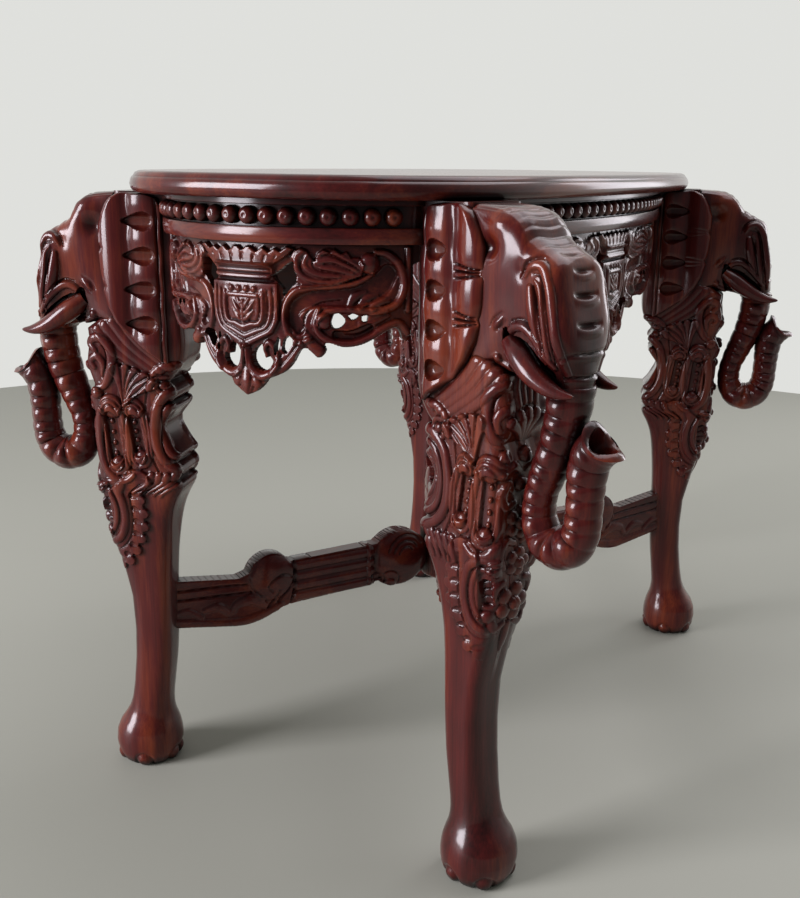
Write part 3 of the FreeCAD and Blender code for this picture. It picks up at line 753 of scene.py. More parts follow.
def cheekLayers():
    socket = [[(42, 637, 5), (46, 626, 9), (58, 622, 11), (74, 611, 11), (90, 600, 9)],
              [(44, 622, 8), (50, 604, 7)]]
    pads = [
        # outer and inner fold of the tusk sheath, and the long bulge beside them
        [(66, 692, 2), (72, 701, 3.8), (84, 702, 4.6), (94, 686, 4.6), (100, 660, 4.6), (105, 632, 4.4),
         (109, 604, 3)],
        [(78, 689, 1.8), (84, 681, 2.8), (88, 658, 3), (93, 632, 3), (95, 618, 2.6), (91, 613, 1.8)],
        [(72, 682, 4), (75, 664, 6.5), (80, 646, 6.5), (86, 630, 4)],
        # arched lip over the tusk, the eye, and the lower lip
        [(39, 618, 3), (42, 632, 4), (51, 642, 4.6), (63, 644, 4.6), (75, 637, 4.4), (87, 625, 4),
         (99, 610, 3)],
        [(27, 639, 1.4), (32, 645, 3.4), (38, 650, 1.4)],
        [(27, 607, 3), (42, 601, 4), (58, 594, 3)],
        [(29, 610, 4.6)],
    ]
    grooves = [
        [(75, 695, 1.4), (84, 693, 2), (89, 681, 2.2), (94, 658, 2.2), (99, 632, 2), (101, 614, 1.4)],
        [(76, 684, 1.2), (80, 672, 1.8), (83, 654, 1.8), (88, 632, 1.8), (90, 622, 1.2)],
        [(60, 690, 1.2), (66, 704, 2.4), (80, 710, 1.8), (90, 704, 0.8)],
        [(50, 649, 1.6), (62, 651, 2), (74, 645, 2), (85, 634, 1.4)],
        [(22, 640, 1), (28, 649, 1.6), (38, 656, 1)],
        [(28, 636, 1), (35, 641, 1.4), (42, 648, 1)],
    ]
    return [(shelf, -10.0, socket), (swell, 0.8, pads), (cut, -1.1, grooves)]


def ringLines(points, places, sideways):
    # ring lines across the forehead and the root of the trunk, each with a raised lower lip
    place = np.repeat(places, len(points) // len(places))
    half = np.r_[np.linspace(0, 1, head["side"]), np.linspace(1, 0, head["side"])[1:-1]]
    front = (1 - ease(*head["ringFacing"], sideways)) * np.tile(half < head["ringShare"], len(places))
    rise = np.zeros(len(points))
    for where, depth, width, breadth in head["rings"]:
        bow = place - where + head["ringBow"] * points[:, 1] ** 2
        lens = front * depth * np.clip(1 - (points[:, 1] / breadth) ** 2, 0, 1)
        lip = 0.6 * np.exp(-((bow - 2.2 * width) / (1.6 * width)) ** 2)
        rise += lens * (lip - np.exp(-(bow / width) ** 2))
    return rise


def carvedHead(push):
    knots = np.array(head["crown"], float)
    pushFrom = head["pushFrom"]
    knots[:, 0] += push * ease(*pushFrom["reach"], knots[:, 0]) * ease(*pushFrom["height"], knots[:, 1])
    crown = smoothRun(knots, 1.5)
    chin = np.array(head["chin"])
    share = np.linspace(0, 1, head["rows"])
    crownRun = np.concatenate([[0], np.cumsum(np.hypot(*np.diff(crown, axis=0).T))])
    places = share * crownRun[-1]
    top = np.stack([np.interp(places, crownRun, crown[:, k]) for k in (0, 1)], -1)
    knotRun = [crownRun[np.argmin(np.hypot(*(crown - knot).T))] for knot in knots]
    low = np.stack([np.interp(places, knotRun, chin[:, k]) for k in (0, 1)], -1)
    seat = halfOutline(head["seat"], head["side"])
    cheek = halfOutline(head["cheek"], head["side"])
    turn = np.linspace(0, np.pi, head["side"])
    tube = np.stack([0.5 - 0.5 * np.cos(turn), head["tubeHalf"] * np.sin(turn)])
    rings = []
    for f, a, b in zip(share, top, low):
        seatShare = 1 - ease(*head["seatEnd"], f)
        tubeShare = ease(*head["tubeStart"], f)
        v, w = (1 - tubeShare) * (seatShare * seat + (1 - seatShare) * cheek) + tubeShare * tube
        line = a + v[:, None] * (b - a)
        right = np.stack([line[:, 0], w, line[:, 1]], -1)
        left = right[-2:0:-1] * (1, -1, 1)
        rings.append(np.vstack([right, left]))
    rings = np.array(rings)
    normal = skinNormals(rings)
    points = rings.reshape(-1, 3)
    sideways = np.abs(normal.reshape(-1, 3)[:, 1])
    gate = ease(*head["cheekFacing"], sideways)
    rise = np.zeros(len(points))
    for s, z, spreadS, spreadZ, height in head["swells"]:
        away = ((points[:, 0] - s) / spreadS) ** 2 + ((points[:, 2] - z) / spreadZ) ** 2
        rise += gate * height * np.exp(-away)
    rise += gate * carve(points[:, [0, 2]], cheekLayers())
    rise += ringLines(points, places, sideways)
    piece = skinRings("head pattern", rings + normal * rise.reshape(rings.shape[:2])[..., None])
    applyModifier(piece, "DECIMATE", ratio=head["keep"])
    return tidy(piece)


trunk = {
    # centre line as outward distance, height, radius
    "stations": [(97, 592, 24.5), (94, 562, 23), (87, 532, 21.5), (76, 503, 19.5), (66, 474, 17.5),
                 (65, 449, 18.5), (74, 430, 21), (91, 423.5, 23), (108, 430, 21.5), (118, 448, 19.5),
                 (120, 478, 19), (121, 507, 20.5), (126, 526, 21.5), (136, 538, 21.5)],
    "pitch": 16.5,          # from ring to ring
    "uneven": [(2.5, 19), (1.5, 7.3)],      # how far rings stray, and over what length
    "around": 56,
    "groove": 0.085, "sharpness": 0.3,
    "knob": 0.15, "knobWidth": 0.12,
    "level": 0.3,           # share of groove and knob that evens out the girth
    "lip": 5.0, "lipRise": 0.4, "lipFade": 6,
    "fade": 12,             # length of the plain stretch before the tip
    "flare": (1.06, 0.10),  # widening of the tip, and what its upper and lower lips have more
    # the open tip as depth and share of the tip's radius
    "nostril": [(2.0, 0.96), (1.0, 0.74), (-4, 0.62), (-13, 0.52), (-24, 0.3)],
}


def ringsAlong(run, around, shape):
    # rings across a line, and the line's directions; shape gives each ring's reach by angle
    path = run[:, :3]
    ahead = np.gradient(path, axis=0)
    ahead /= np.linalg.norm(ahead, axis=1, keepdims=True)
    across = np.array([0, 1, 0]) - ahead * ahead[:, 1:2]
    across /= np.linalg.norm(across, axis=1, keepdims=True)
    over = np.cross(ahead, across)
    angle = np.linspace(0, 2 * np.pi, around, endpoint=False)
    reach = shape(run, angle)[..., None]
    spread = np.cos(angle)[None, :, None] * across[:, None] + np.sin(angle)[None, :, None] * over[:, None]
    return path[:, None] + reach * spread, ahead


def ringedTrunk():
    line = smoothRun(trunk["stations"], 1.3)
    run = np.stack([line[:, 0], np.zeros(len(line)), line[:, 1], line[:, 2]], -1)
    length = np.concatenate([[0], np.cumsum(np.linalg.norm(np.diff(run[:, :3], axis=0), axis=1))])
    fade = ease(0, trunk["fade"], length[-1] - length)
    uneven = length + sum(stray * np.sin(length / over) for stray, over in trunk["uneven"])
    bulge = np.abs(np.sin(np.pi * uneven / trunk["pitch"])) ** trunk["sharpness"]
    girth = 1 + trunk["groove"] * (fade * (bulge - 1) + trunk["level"])

    def shape(run, angle):
        # each ring swells to a knob on both flanks
        flank = np.exp(-((np.abs(np.cos(angle)) - 1) / trunk["knobWidth"]) ** 2)[None, :]
        knob = trunk["knob"] * (fade * bulge ** 3)[:, None] * flank
        return run[:, 3:4] * (girth[:, None] + knob - trunk["level"] * trunk["knob"])

    rings, ahead = ringsAlong(run, trunk["around"], shape)
    angle = np.linspace(0, 2 * np.pi, trunk["around"], endpoint=False)
    end = run[-1, :3]
    tip = rings[-1]
    wide, more = trunk["flare"]
    flare = wide + more * np.abs(np.sin(angle))
    bow = trunk["lip"] * (trunk["lipRise"] - np.cos(2 * angle))
    lip = end + (tip - end) * flare[:, None] + ahead[-1] * bow[:, None]
    mouth = [0.5 * (tip + lip), lip]
    for depth, share in trunk["nostril"]:
        inner = depth + bow * min(1, max(0, 1 + depth / trunk["lipFade"]))
        mouth.append(end + (tip - end) * share + ahead[-1] * inner[:, None])
    return skinRings("trunk pattern", np.vstack([rings, np.array(mouth)]))


tusk = {
    # centre line as outward and sideways distance, height, radius
    "stations": [(42, 26, 627, 11.5), (57, 31, 616, 14), (75, 35, 603, 13), (93, 36, 593, 10),
                 (109, 35.5, 588, 6.5), (122, 34, 587, 2.8), (125, 33.9, 587.5, 0.6)],
    "around": 32,
    "ridge": (0.9, 0.12),   # girth, and what the ridges on both sides add
}


def curvedTusk(side):
    run = smoothRun([(s, side * t, z, r) for s, t, z, r in tusk["stations"]], 2.0, 3)

    def ridged(run, angle):
        girth, more = tusk["ridge"]
        return run[:, 3:4] * (girth + more * (1 - np.abs(np.sin(angle))))

    return skinRings("tusk pattern", ringsAlong(run, tusk["around"], ridged)[0])


ear = {
    "inner": 38, "sunk": 1.0,       # flank of the leg, and how far the ear goes into it
    "ends": (552, 755), "endGaps": (0.3, 0.2),      # heights, and how far inside them the mesh ends
    "least": 0.3,           # thickness that the deepest cut leaves
    "slopes": (0.9, 3, 2),  # how steeply the front, the back and the ends roll over
    "ripple": {"depth": 0.9, "fade": (-22, -30)},
    # outline as height and outward distance
    "front": [(552, -66), (566, -45), (582, -22), (602, -4), (622, 6), (640, 10.5), (645, 8.5), (650, 11),
              (660, 13), (684, 14.5), (690, 11.5), (696, 14), (715, 14), (730, 9), (742, 2), (748, -3),
              (753, -12), (755, -20)],
    "back": [(552, -68), (738, -68), (749, -63), (753, -52), (755, -40)],
    # thickness out from the flank, by outward distance
    "board": [(-68, 5.6), (-63.4, 6.0), (-62.2, 5.2), (-60.5, 8.4), (-55, 10.6), (-46, 11.4), (-36, 9.8),
              (-30, 7.0), (-25, 4.4), (-21, 4.8), (-14, 7.8), (-5, 9.8), (4, 8.6), (12, 5.5), (20, 4)],
    "rim": 7,
    "gouges": (716, 676, 636, 595),
    # long gouges taper to the front, and all stop at the ear's edge
    "gouge": {"place": -48, "back": 11, "tall": 11.0, "deep": 10.0, "taper": (12, 45), "stop": 6},
    # the carver's unevenness, as drop and length of the gouges and depth of the creases
    "uneven": {"left_back": (-6, 30, 0), "left_front": (7, 16, 1),
               "right_front": (-6, 26, 0.2), "right_back": (2, 18, 1)},
    "pitch": 41,            # from gouge to gouge
    "creases": (643, 690),
    "hollow": {"depth": 2.2, "spread": 9, "fade": (-22, -14)},
    # three lines in each crease, which close up towards the front
    "line": {"offsets": (-7, 0, 7), "depth": 3.2, "width": 1.9, "fade": (-24, -19), "stop": 4,
             "closeUp": (-22, 12), "closeBy": 0.6},
    "rows": 220,
    "across": 100,
    "keep": 0.6,
}


def carvedEar(side, lower, length, crease):
    bottom, top = ear["ends"]
    lowGap, highGap = ear["endGaps"]
    heights = np.linspace(bottom + lowGap, top - highGap, ear["rows"])
    front = along(ear["front"], heights, False)
    back = along(ear["back"], heights, False)
    share = np.linspace(0, 1, ear["across"])
    s = back[:, None] + (front - back)[:, None] * share
    z = np.repeat(heights[:, None], ear["across"], 1)
    fromFront = front[:, None] - s
    fromBack = s - back[:, None]
    thick = along(ear["board"], s)
    roll = np.cos(2 * np.pi * (z + lower - ear["gouges"][1]) / ear["pitch"])
    thick -= ear["ripple"]["depth"] * (1 + roll) * ease(*ear["ripple"]["fade"], s)
    hollow = ear["hollow"]
    for height in ear["creases"]:
        dip = np.exp(-((z - height) / hollow["spread"]) ** 2)
        thick -= hollow["depth"] * crease * ease(*hollow["fade"], s) * dip
    frontSlope, backSlope, endSlope = ear["slopes"]
    edge = np.minimum(np.minimum(fromFront * frontSlope, fromBack * backSlope),
                      np.minimum(z - bottom, top - z) * endSlope)
    rim = np.sqrt(np.clip(1 - (1 - np.clip(edge / ear["rim"], 0, 1)) ** 2, 0, 1))
    thick = np.maximum(thick * rim, ear["least"])
    bowl = ear["gouge"]
    short, slow = bowl["taper"]
    for height in ear["gouges"]:
        reach = np.where(s > bowl["place"], length, bowl["back"])
        tall = bowl["tall"] * (1 - (length - short) / slow * ease(bowl["place"], bowl["place"] + length, s))
        away = ((s - bowl["place"]) / reach) ** 2 + ((z + lower - height) / tall) ** 2
        thick -= bowl["deep"] * np.sqrt(np.clip(1 - away, 0, 1)) * ease(0, bowl["stop"], fromFront)
    line = ear["line"]
    for height in ear["creases"]:
        for offset in line["offsets"]:
            fanned = offset * (1 - line["closeBy"] * ease(*line["closeUp"], s))
            groove = np.maximum(1 - np.abs(z - height - fanned) / line["width"], 0)
            groove *= ease(*line["fade"], s) * ease(0, line["stop"], fromFront)
            thick -= line["depth"] * crease * groove
    thick = np.maximum(thick, ear["least"])
    outer = np.stack([s, side * (ear["inner"] + thick), z], -1)
    inner = outer[:, [-1, 0]] * (1, 0, 1) + (0, side * (ear["inner"] - ear["sunk"]), 0)
    piece = skinRings("ear pattern", np.concatenate([outer, inner], axis=1))
    applyModifier(piece, "DECIMATE", ratio=ear["keep"])
    return tidy(piece)


def buildLegs():
    for corners, knee, shank in post["sets"]:
        setOnLegs(carvedPost(knee, shank), "carved_leg", "leg_post", uprightLacquer, corners)
    for corner, push in head["push"].items():
        setOnLegs(carvedHead(push), "carved_head", "elephant_head", uprightLacquer, [corner])
    setOnLegs(ringedTrunk(), "ringed_trunk", "elephant_trunk", uprightLacquer)
    for side, sign in (("left", 1), ("right", -1)):
        setOnLegs(curvedTusk(sign), "curved_tusk_" + side, "tusk_" + side, uprightLacquer)
        for corner, habits in ear["uneven"].items():
            pattern = carvedEar(sign, *habits)
            setOnLegs(pattern, "gouged_ear_" + side, "ear_" + side, uprightLacquer, [corner])


buildLegs()
print("legs carved")

# Top

board = {
    "halfLength": 510, "halfWidth": 268, "squareness": 2.95, "points": 240,
    # edge profile as inset from the rim and height
    "edge": [(40, 756), (10, 756), (4, 757.5), (1, 761.5), (0, 766), (1.2, 771), (3.2, 774), (4.2, 774.2),
             (4.6, 775.2), (6.5, 778.2), (11, 780), (40, 780)],
}


def boardPiece():
    x, y = squareOval(board["halfLength"], board["halfWidth"], board["squareness"], board["points"])
    outline = np.stack([x, y, np.zeros_like(x)], -1)
    ahead = np.roll(outline, -1, 0) - np.roll(outline, 1, 0)
    outward = np.stack([ahead[:, 1], -ahead[:, 0], np.zeros_like(x)], -1)
    outward /= np.linalg.norm(outward, axis=1, keepdims=True)
    rings = [outline - outward * inset + (0, 0, z) for inset, z in board["edge"]]
    pattern = skinRings("board pattern", np.array(rings))
    setPlace(pattern, "oval_board", Matrix.Scale(mm, 4), "table_top", topLacquer)
    discard(pattern)


boardPiece()
print("top made")

# Aprons: a rail with beads over a pierced crest, bowed about an upright axis

# bow radius, reach from the table's middle, half length and number of beads
endApron = {"radius": 220, "middle": 488, "half": 190, "beads": 16}
sideApron = {"radius": 1170, "middle": 245, "half": 328, "beads": 28}
aprons = {
    "end_right": {**endApron, "turn": 0},
    "side_back": {**sideApron, "turn": 90},
    "end_left": {**endApron, "turn": 180},
    "side_front": {**sideApron, "turn": 270},
}
rail = {
    # profile as depth behind the face and height
    "profile": [(0, 756), (0, 750.6), (0.6, 750), (7, 749.6), (7, 728.4), (0.6, 728), (-0.4, 726.5),
                (-0.9, 720), (-0.4, 713.5), (0.6, 712), (22, 712), (22, 756)],
    "step": 4, "short": 4,      # mesh step, and how far it ends before its tenon
    "sharp": 35,                # degrees
    "bead": 9.5, "pitch": 22.1, "beadHeight": 739, "beadDepth": 4,
    "beadMesh": {"segments": 24, "ring_count": 14},
    "dimple": {"reach": 3.2, "depth": 2.2},
}
crest = {
    "ground": 10.5, "back": 19,     # depths behind the rail's face
    "middle": 66,                   # half width of the part that isn't stretched on the long sides
    "step": 1.1, "roll": 2.5,
    # right halves, as distance along the rail and height
    "corners": [(190, 712), (190, 640)],
    "edge": [(190, 640), (189, 624), (185, 613), (179, 615), (176, 623), (167, 627), (150, 618),
             (132, 610), (114, 608), (99, 612), (93, 609), (95, 603), (91, 597), (85, 596), (79, 601),
             (73, 605), (66, 602), (58, 589), (48, 579), (36, 573), (26, 569), (20, 562), (11, 555),
             (0, 550)],
    "shield": [(0, 671), (43, 671), (44, 650), (43, 632), (36, 619), (20, 611), (0, 601)],
    "crown": [(0, 688), (34, 688), (42, 692), (52, 698), (63, 707), (54, 709), (46, 704), (40, 707),
              (33, 703), (26, 708), (18, 703), (10, 708), (4, 707), (0, 704)],
    "leaf": [(69, 667), (67, 672), (61, 674), (64, 681), (58, 685), (61, 692), (57, 698), (61, 705),
             (69, 708), (76, 705), (80, 699), (84, 695), (86, 702), (93, 707), (100, 704), (105, 708),
             (112, 703), (118, 705), (123, 699), (131, 699), (136, 692), (134, 680), (110, 672),
             (88, 669)],
    "holes": [[(36, 679), (44, 684), (53, 691), (60, 693), (62, 684), (64, 674), (56, 666), (48, 658),
               (46, 667), (38, 675)],
              [(47, 612), (55, 618), (60, 612), (56, 606), (50, 598), (45, 603)],
              [(40, 616), (43, 611), (41, 600), (38, 595), (36.5, 604)],
              [(100, 632), (104, 641), (111, 641), (116, 634), (110, 627), (103, 626)],
              [(119, 639), (124, 642), (130, 639), (124, 635)],
              [(134, 639), (140, 640), (139, 633), (134, 634)],
              [(20, 607), (12, 602), (7, 592), (11, 583), (20, 578), (29, 581), (34, 589), (30, 594),
               (25, 592), (23, 600)]],
    "plates": {"shield": 4.5, "crown": 5.5, "leaf": 3.5},       # how far these stand off the ground
    "plateEdge": (-0.6, 1.4),
    "keep": 0.6,
}


def apronBend(apron):
    # bows points drawn along a straight rail, as distance along, depth behind its face and height
    def bend(points):
        angle = points[:, 0] / apron["radius"]
        reach = apron["radius"] - points[:, 1]
        x = apron["middle"] - apron["radius"] + reach * np.cos(angle)
        return np.stack([x, reach * np.sin(angle), points[:, 2]], -1)
    return bend


def apronMatrix(apron):
    return Matrix.Rotation(math.radians(apron["turn"]), 4, "Z") @ Matrix.Scale(mm, 4)


def apronGrain(apron):
    return crossLacquer if apron["turn"] % 180 == 0 else longLacquer


def railReach(name, apron):
    # arc length to the end of the rail's tenon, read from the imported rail
    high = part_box("apron_rail_" + name)[1]
    across = 1 if apron["turn"] % 180 == 0 else 0
    return apron["radius"] * math.asin(high[across] / mm / apron["radius"])


def railPiece(name, apron):
    reach = railReach(name, apron) - rail["short"]
    u = np.arange(-reach, reach + rail["step"], rail["step"])
    profile = np.array(rail["profile"])
    rings = np.array([np.stack([np.full(len(profile), a), profile[:, 0], profile[:, 1]], -1) for a in u])
    pattern = skinRings("rail pattern", rings)
    reshape(pattern, apronBend(apron))
    tidy(pattern, rail["sharp"])
    setPlace(pattern, "bowed_rail_" + name, apronMatrix(apron), "apron_rail_" + name, apronGrain(apron))
    discard(pattern)


def dimple(points):
    # sinks the middle of a bead's face
    dip = 1 - ease(0, rail["dimple"]["reach"], np.hypot(points[:, 0], points[:, 1]))
    sunk = points.copy()
    sunk[:, 2] -= np.where(points[:, 2] > 0, rail["dimple"]["depth"] * dip, 0)
    return sunk


def beadPiece(name, apron):
    beads = []
    for k in range(apron["beads"]):
        u = (k - (apron["beads"] - 1) / 2) * rail["pitch"]
        place = apronBend(apron)(np.array([[u, rail["beadDepth"], rail["beadHeight"]]]))[0]
        turn = (0, math.pi / 2, u / apron["radius"])
        bpy.ops.mesh.primitive_uv_sphere_add(radius=rail["bead"], location=place, rotation=turn,
                                             **rail["beadMesh"])
        reshape(bpy.context.active_object, dimple)
        beads.append(bpy.context.active_object)
    strip = joinUp(beads)
    pick(strip)
    bpy.ops.object.transform_apply(location=True, rotation=True, scale=True)
    tidy(strip)
    setPlace(strip, "beads_" + name, apronMatrix(apron), "bead_strip_" + name, uprightLacquer)
    discard(strip)


def shieldLine(inset, radius):
    # a line that follows the edge of the shield
    corners = [(43 - inset, 669 - inset / 2), (43 - inset, 640), (36 - 0.85 * inset, 622 + 0.4 * inset),
               (20 - 0.5 * inset, 612 + 0.85 * inset), (0, 603 + 1.15 * inset)]
    return [(u, z, radius) for u, z in corners]


def shieldLayers():
    # mouldings, bands, dentils, and a plain spray of leaves in the field
    moulding = [[(-30, 683, 9), (30, 683, 9)]]
    bars = [[(-u, z, r), (u, z, r)] for u, z, r in ((35, 688.5, 3), (33, 683, 1.8), (35, 676.5, 4))]
    dentils = [[(u, 664, 3.4)] for u in (-15, -5, 5, 15)]
    border = mirrored([shieldLine(18, 2.6), [(0, 657, 2.4), (24, 657, 2.4)]])
    grooves = mirrored([shieldLine(6, 1.8), shieldLine(12.5, 1.8), shieldLine(22, 1.4)])
    stem = [[(0, 628, 1.6), (0, 638, 2.4), (0, 648, 2.2)], [(0, 650, 3)]]
    leaves = mirrored([
        [(1, 630, 1.2), (6, 634, 3), (13, 641, 1.2)],
        [(1, 636, 1.2), (7, 642, 3), (14, 651, 1.2)],
        [(1, 643, 1.2), (4, 648, 2.4), (8, 654, 1.2)],
    ])
    flutes = [[(0, 694, 1.3), (0, 700, 1.5)]]
    flutes += mirrored([[(a, 693, 1.3), (b, 699, 1.6)] for a, b in ((14, 15), (27, 29), (38, 42))])
    flutes += mirrored([[(36, 691, 1.4), (46, 697, 1.8), (58, 705, 1.4)]])
    return [(shelf, 4.0, moulding), (swell, 0.8, bars), (swell, 0.7, dentils), (swell, 0.7, border),
            (cut, -1.1, grooves), (swell, 0.8, stem + leaves), (cut, -1.0, flutes)]


def scrollLayers():
    channels = [
        # hollow of the great scroll from end to end, and of the lower one
        [(66, 625, 7), (58, 636, 8), (63, 648, 9), (80, 656, 9.5), (105, 658, 9.5), (130, 660, 11),
         (152, 670, 13), (162, 682, 11)],
        [(106, 620, 5), (124, 620, 6), (142, 627, 6)],
    ]
    rims = [
        # inner and outer edge of the great scroll, and the lower scroll
        [(78, 615, 3), (66, 611, 3.4), (55, 617, 3.8), (49, 633, 3.8), (52, 652, 3.8), (65, 665, 3.8),
         (88, 668, 3.4), (112, 670, 3.2), (130, 674, 3.2), (146, 682, 3)],
        [(149, 704, 3.4), (161, 702, 4.4), (174, 691, 4.8), (180, 671, 4.8), (172, 652, 4.6),
         (153, 645, 4.2), (132, 645, 4), (112, 646, 3.8), (94, 642, 3.4), (82, 630, 3)],
        [(88, 645, 3), (84, 632, 3.8), (89, 620, 4.2), (104, 612, 4.6), (122, 611, 4.6), (140, 616, 4.6),
         (158, 627, 4.6), (174, 632, 4.4), (184, 622, 4)],
        # volute under the shield with its inner curl
        [(3, 604, 3.2), (4, 592, 3.8), (8, 579, 4.2), (20, 572, 4.6), (33, 577, 4.6), (40, 588, 4.2),
         (38, 602, 3.8), (30, 609, 3.4), (25, 602, 2.8), (28, 595, 2.4)],
        # upright bead at the end
        [(184, 708, 3.6), (184, 645, 3.6)],
    ]
    leaves = [
        # three that rise from the volute
        [(36, 577, 5), (48, 585, 6.4), (58, 596, 6.4), (67, 608, 5)],
        [(41, 588, 3.5), (52, 598, 4.6), (62, 611, 4.6), (72, 622, 3.5)],
        [(43, 598, 3), (52, 608, 4), (62, 621, 3.6)],
        # lobe between the two scrolls, and petals on the great one
        [(75, 616, 5), (81, 608, 6.5), (88, 603, 6.5)],
        [(121, 650, 3.6), (127, 659, 5), (138, 664, 2.4)],
        [(132, 649, 3.6), (140, 657, 5), (151, 660, 2.4)],
        [(145, 648, 3.6), (153, 654, 4.8), (163, 655, 2.4)],
        # leaf over the great scroll
        [(71, 704, 2.6), (64, 697, 3.2), (66, 685, 3.4), (78, 677, 3.2), (96, 674, 2.6), (118, 676, 1.8)],
        [(79, 702, 2.0), (73, 694, 2.8), (77, 686, 2.8), (90, 681, 2.6), (110, 680, 1.8)],
        [(89, 702, 2.2), (98, 705, 2.8), (108, 702, 3.0), (118, 697, 2.6), (131, 690, 1.8)],
        [(88, 694, 2.0), (101, 696, 2.8), (113, 692, 2.6), (128, 686, 1.8)],
        [(90, 688, 1.8), (104, 687, 2.4), (124, 683, 1.6)],
        [(116, 623, 3), (130, 625, 4.2), (146, 633, 4.2), (162, 640, 3)],
        [(132, 632, 3), (146, 639, 4), (160, 644, 3)],
    ]
    pendant = [[(0, 604, 4), (0, 588, 4), (0, 574, 5)], [(0, 576, 6), (0, 564, 9), (0, 555, 5)]]
    pendant += mirrored([[(6, 574, 3), (13, 565, 6), (15, 561, 3)]])
    balls = mirrored([[(142, 693, 11)], [(94, 634, 9)]])
    veins = mirrored([
        [(72, 699, 1.4), (68, 691, 1.8), (72, 683, 1.8), (86, 677, 1.8), (108, 677, 1.2)],
        [(82, 697, 1.4), (83, 689, 1.8), (94, 685, 1.8), (116, 682, 1.2)],
        [(92, 700, 1.4), (102, 701, 1.8), (114, 696, 1.8), (128, 689, 1.2)],
        [(94, 692, 1.4), (106, 692, 1.8), (122, 686, 1.2)],
        [(45, 586, 1.4), (56, 598, 1.8), (66, 612, 1.6)],
        [(70, 628, 1.4), (74, 641, 1.8), (88, 651, 1.8), (112, 655, 1.4)],
        [(7, 570, 1.4), (6, 562, 1.8), (3, 554, 1.4)],
    ])
    return [(shelf, -4.0, mirrored(channels)), (swell, 1.1, mirrored(rims)),
            (swell, 0.5, mirrored(leaves) + pendant), (swell, 0.75, balls), (cut, -1.0, veins)]


def stretchOut(points, apron):
    # draws the ends out on the long sides, and leaves the shield as it is
    spread = (apron["half"] - crest["middle"]) / (aprons["end_right"]["half"] - crest["middle"])
    stretched = []
    for u, *rest in points:
        beyond = max(abs(u) - crest["middle"], 0)
        wide = min(abs(u), crest["middle"]) + beyond * spread
        stretched.append((math.copysign(wide, u), *rest))
    return stretched


def bothHalves(half, apron):
    right = stretchOut(half, apron)
    left = [(-u, z) for u, z in right[::-1] if u > 0]
    return np.array(right + left)


def markShadedBareBack(panel, depth):
    # the back was never lacquered and is darkened with painted shade, and its finish reads this
    bare = panel.data.attributes.new("bare", "FLOAT", "POINT")
    for vertex, mark in zip(panel.data.vertices, bare.data):
        mark.value = float(vertex.co.y > depth)


def crestPiece(names):
    # one pattern for two facing aprons
    apron = aprons[names[0]]
    outlines = [bothHalves(crest["corners"] + smoothRun(crest["edge"], 2.0).tolist()[1:], apron)]
    for hole in crest["holes"]:
        closed = smoothRun(hole + hole[:1], 2.0)[:-1].tolist()
        half = np.array(stretchOut(closed, apron))
        outlines += [half, half * (-1, 1)]
    layers = [(profile, share, [stretchOut(stroke, apron) for stroke in strokes])
              for profile, share, strokes in scrollLayers() + shieldLayers()]
    stand = crest["plates"]
    plates = [(stand[name], bothHalves(crest[name], apron)) for name in ("shield", "crown")]
    leaf = np.array(stretchOut(crest["leaf"], apron))
    plates += [(stand["leaf"], leaf), (stand["leaf"], leaf * (-1, 1))]

    def relief(flat):
        rise = carve(flat, layers)
        for height, outline in plates:
            near = ((flat > outline.min(0) - 1) & (flat < outline.max(0) + 1)).all(1)
            rise[near] += height * ease(*crest["plateEdge"], edgeDistance(flat[near], [outline])[0])
        return rise

    step = crest["step"] * math.sqrt(apron["half"] / aprons["end_right"]["half"])
    panel = carvedSlab("crest pattern", outlines, relief, crest["ground"], crest["back"], step,
                       crest["roll"])
    applyModifier(panel, "DECIMATE", ratio=crest["keep"])
    markShadedBareBack(panel, crest["back"] - 1)
    reshape(panel, apronBend(apron))
    tidy(panel)
    for name in names:
        setPlace(panel, "pierced_crest_" + name, apronMatrix(aprons[name]), "crest_panel_" + name,
                 apronGrain(apron))
    discard(panel)


for apronName, apron in aprons.items():
    railPiece(apronName, apron)
    beadPiece(apronName, apron)
crestPiece(["end_right", "end_left"])
crestPiece(["side_back", "side_front"])
print("aprons made")

# Stretcher: four scrolled arms on a hub, each drawn as distance from the middle and height

arm = {
    "face": 10.5,           # half thickness of the ground
    "axis": -21.5,          # middle of the leg's shank, from the middle of its foot
    "step": 1.3, "roll": 3.0,
    "scroll": (290, 234, 34), "scrollTurn": (18, 148),          # middle and radius, and degrees round it
    "volute": (86, 226, 50, 42), "voluteTurn": (42, 318, 40),   # the same for an oval, and its points
    "shank": [(432, 187), (432, 253), (338, 240), (324, 244)],
    "belly": [(128, 197), (142, 192), (258, 188), (282, 181), (306, 173), (333, 170), (372, 176)],
}


def ovalRun(a, b, halfA, halfB, start, end, count=24):
    angles = np.radians(np.linspace(start, end, count))
    return [(a + halfA * math.cos(t), b + halfB * math.sin(t)) for t in angles]


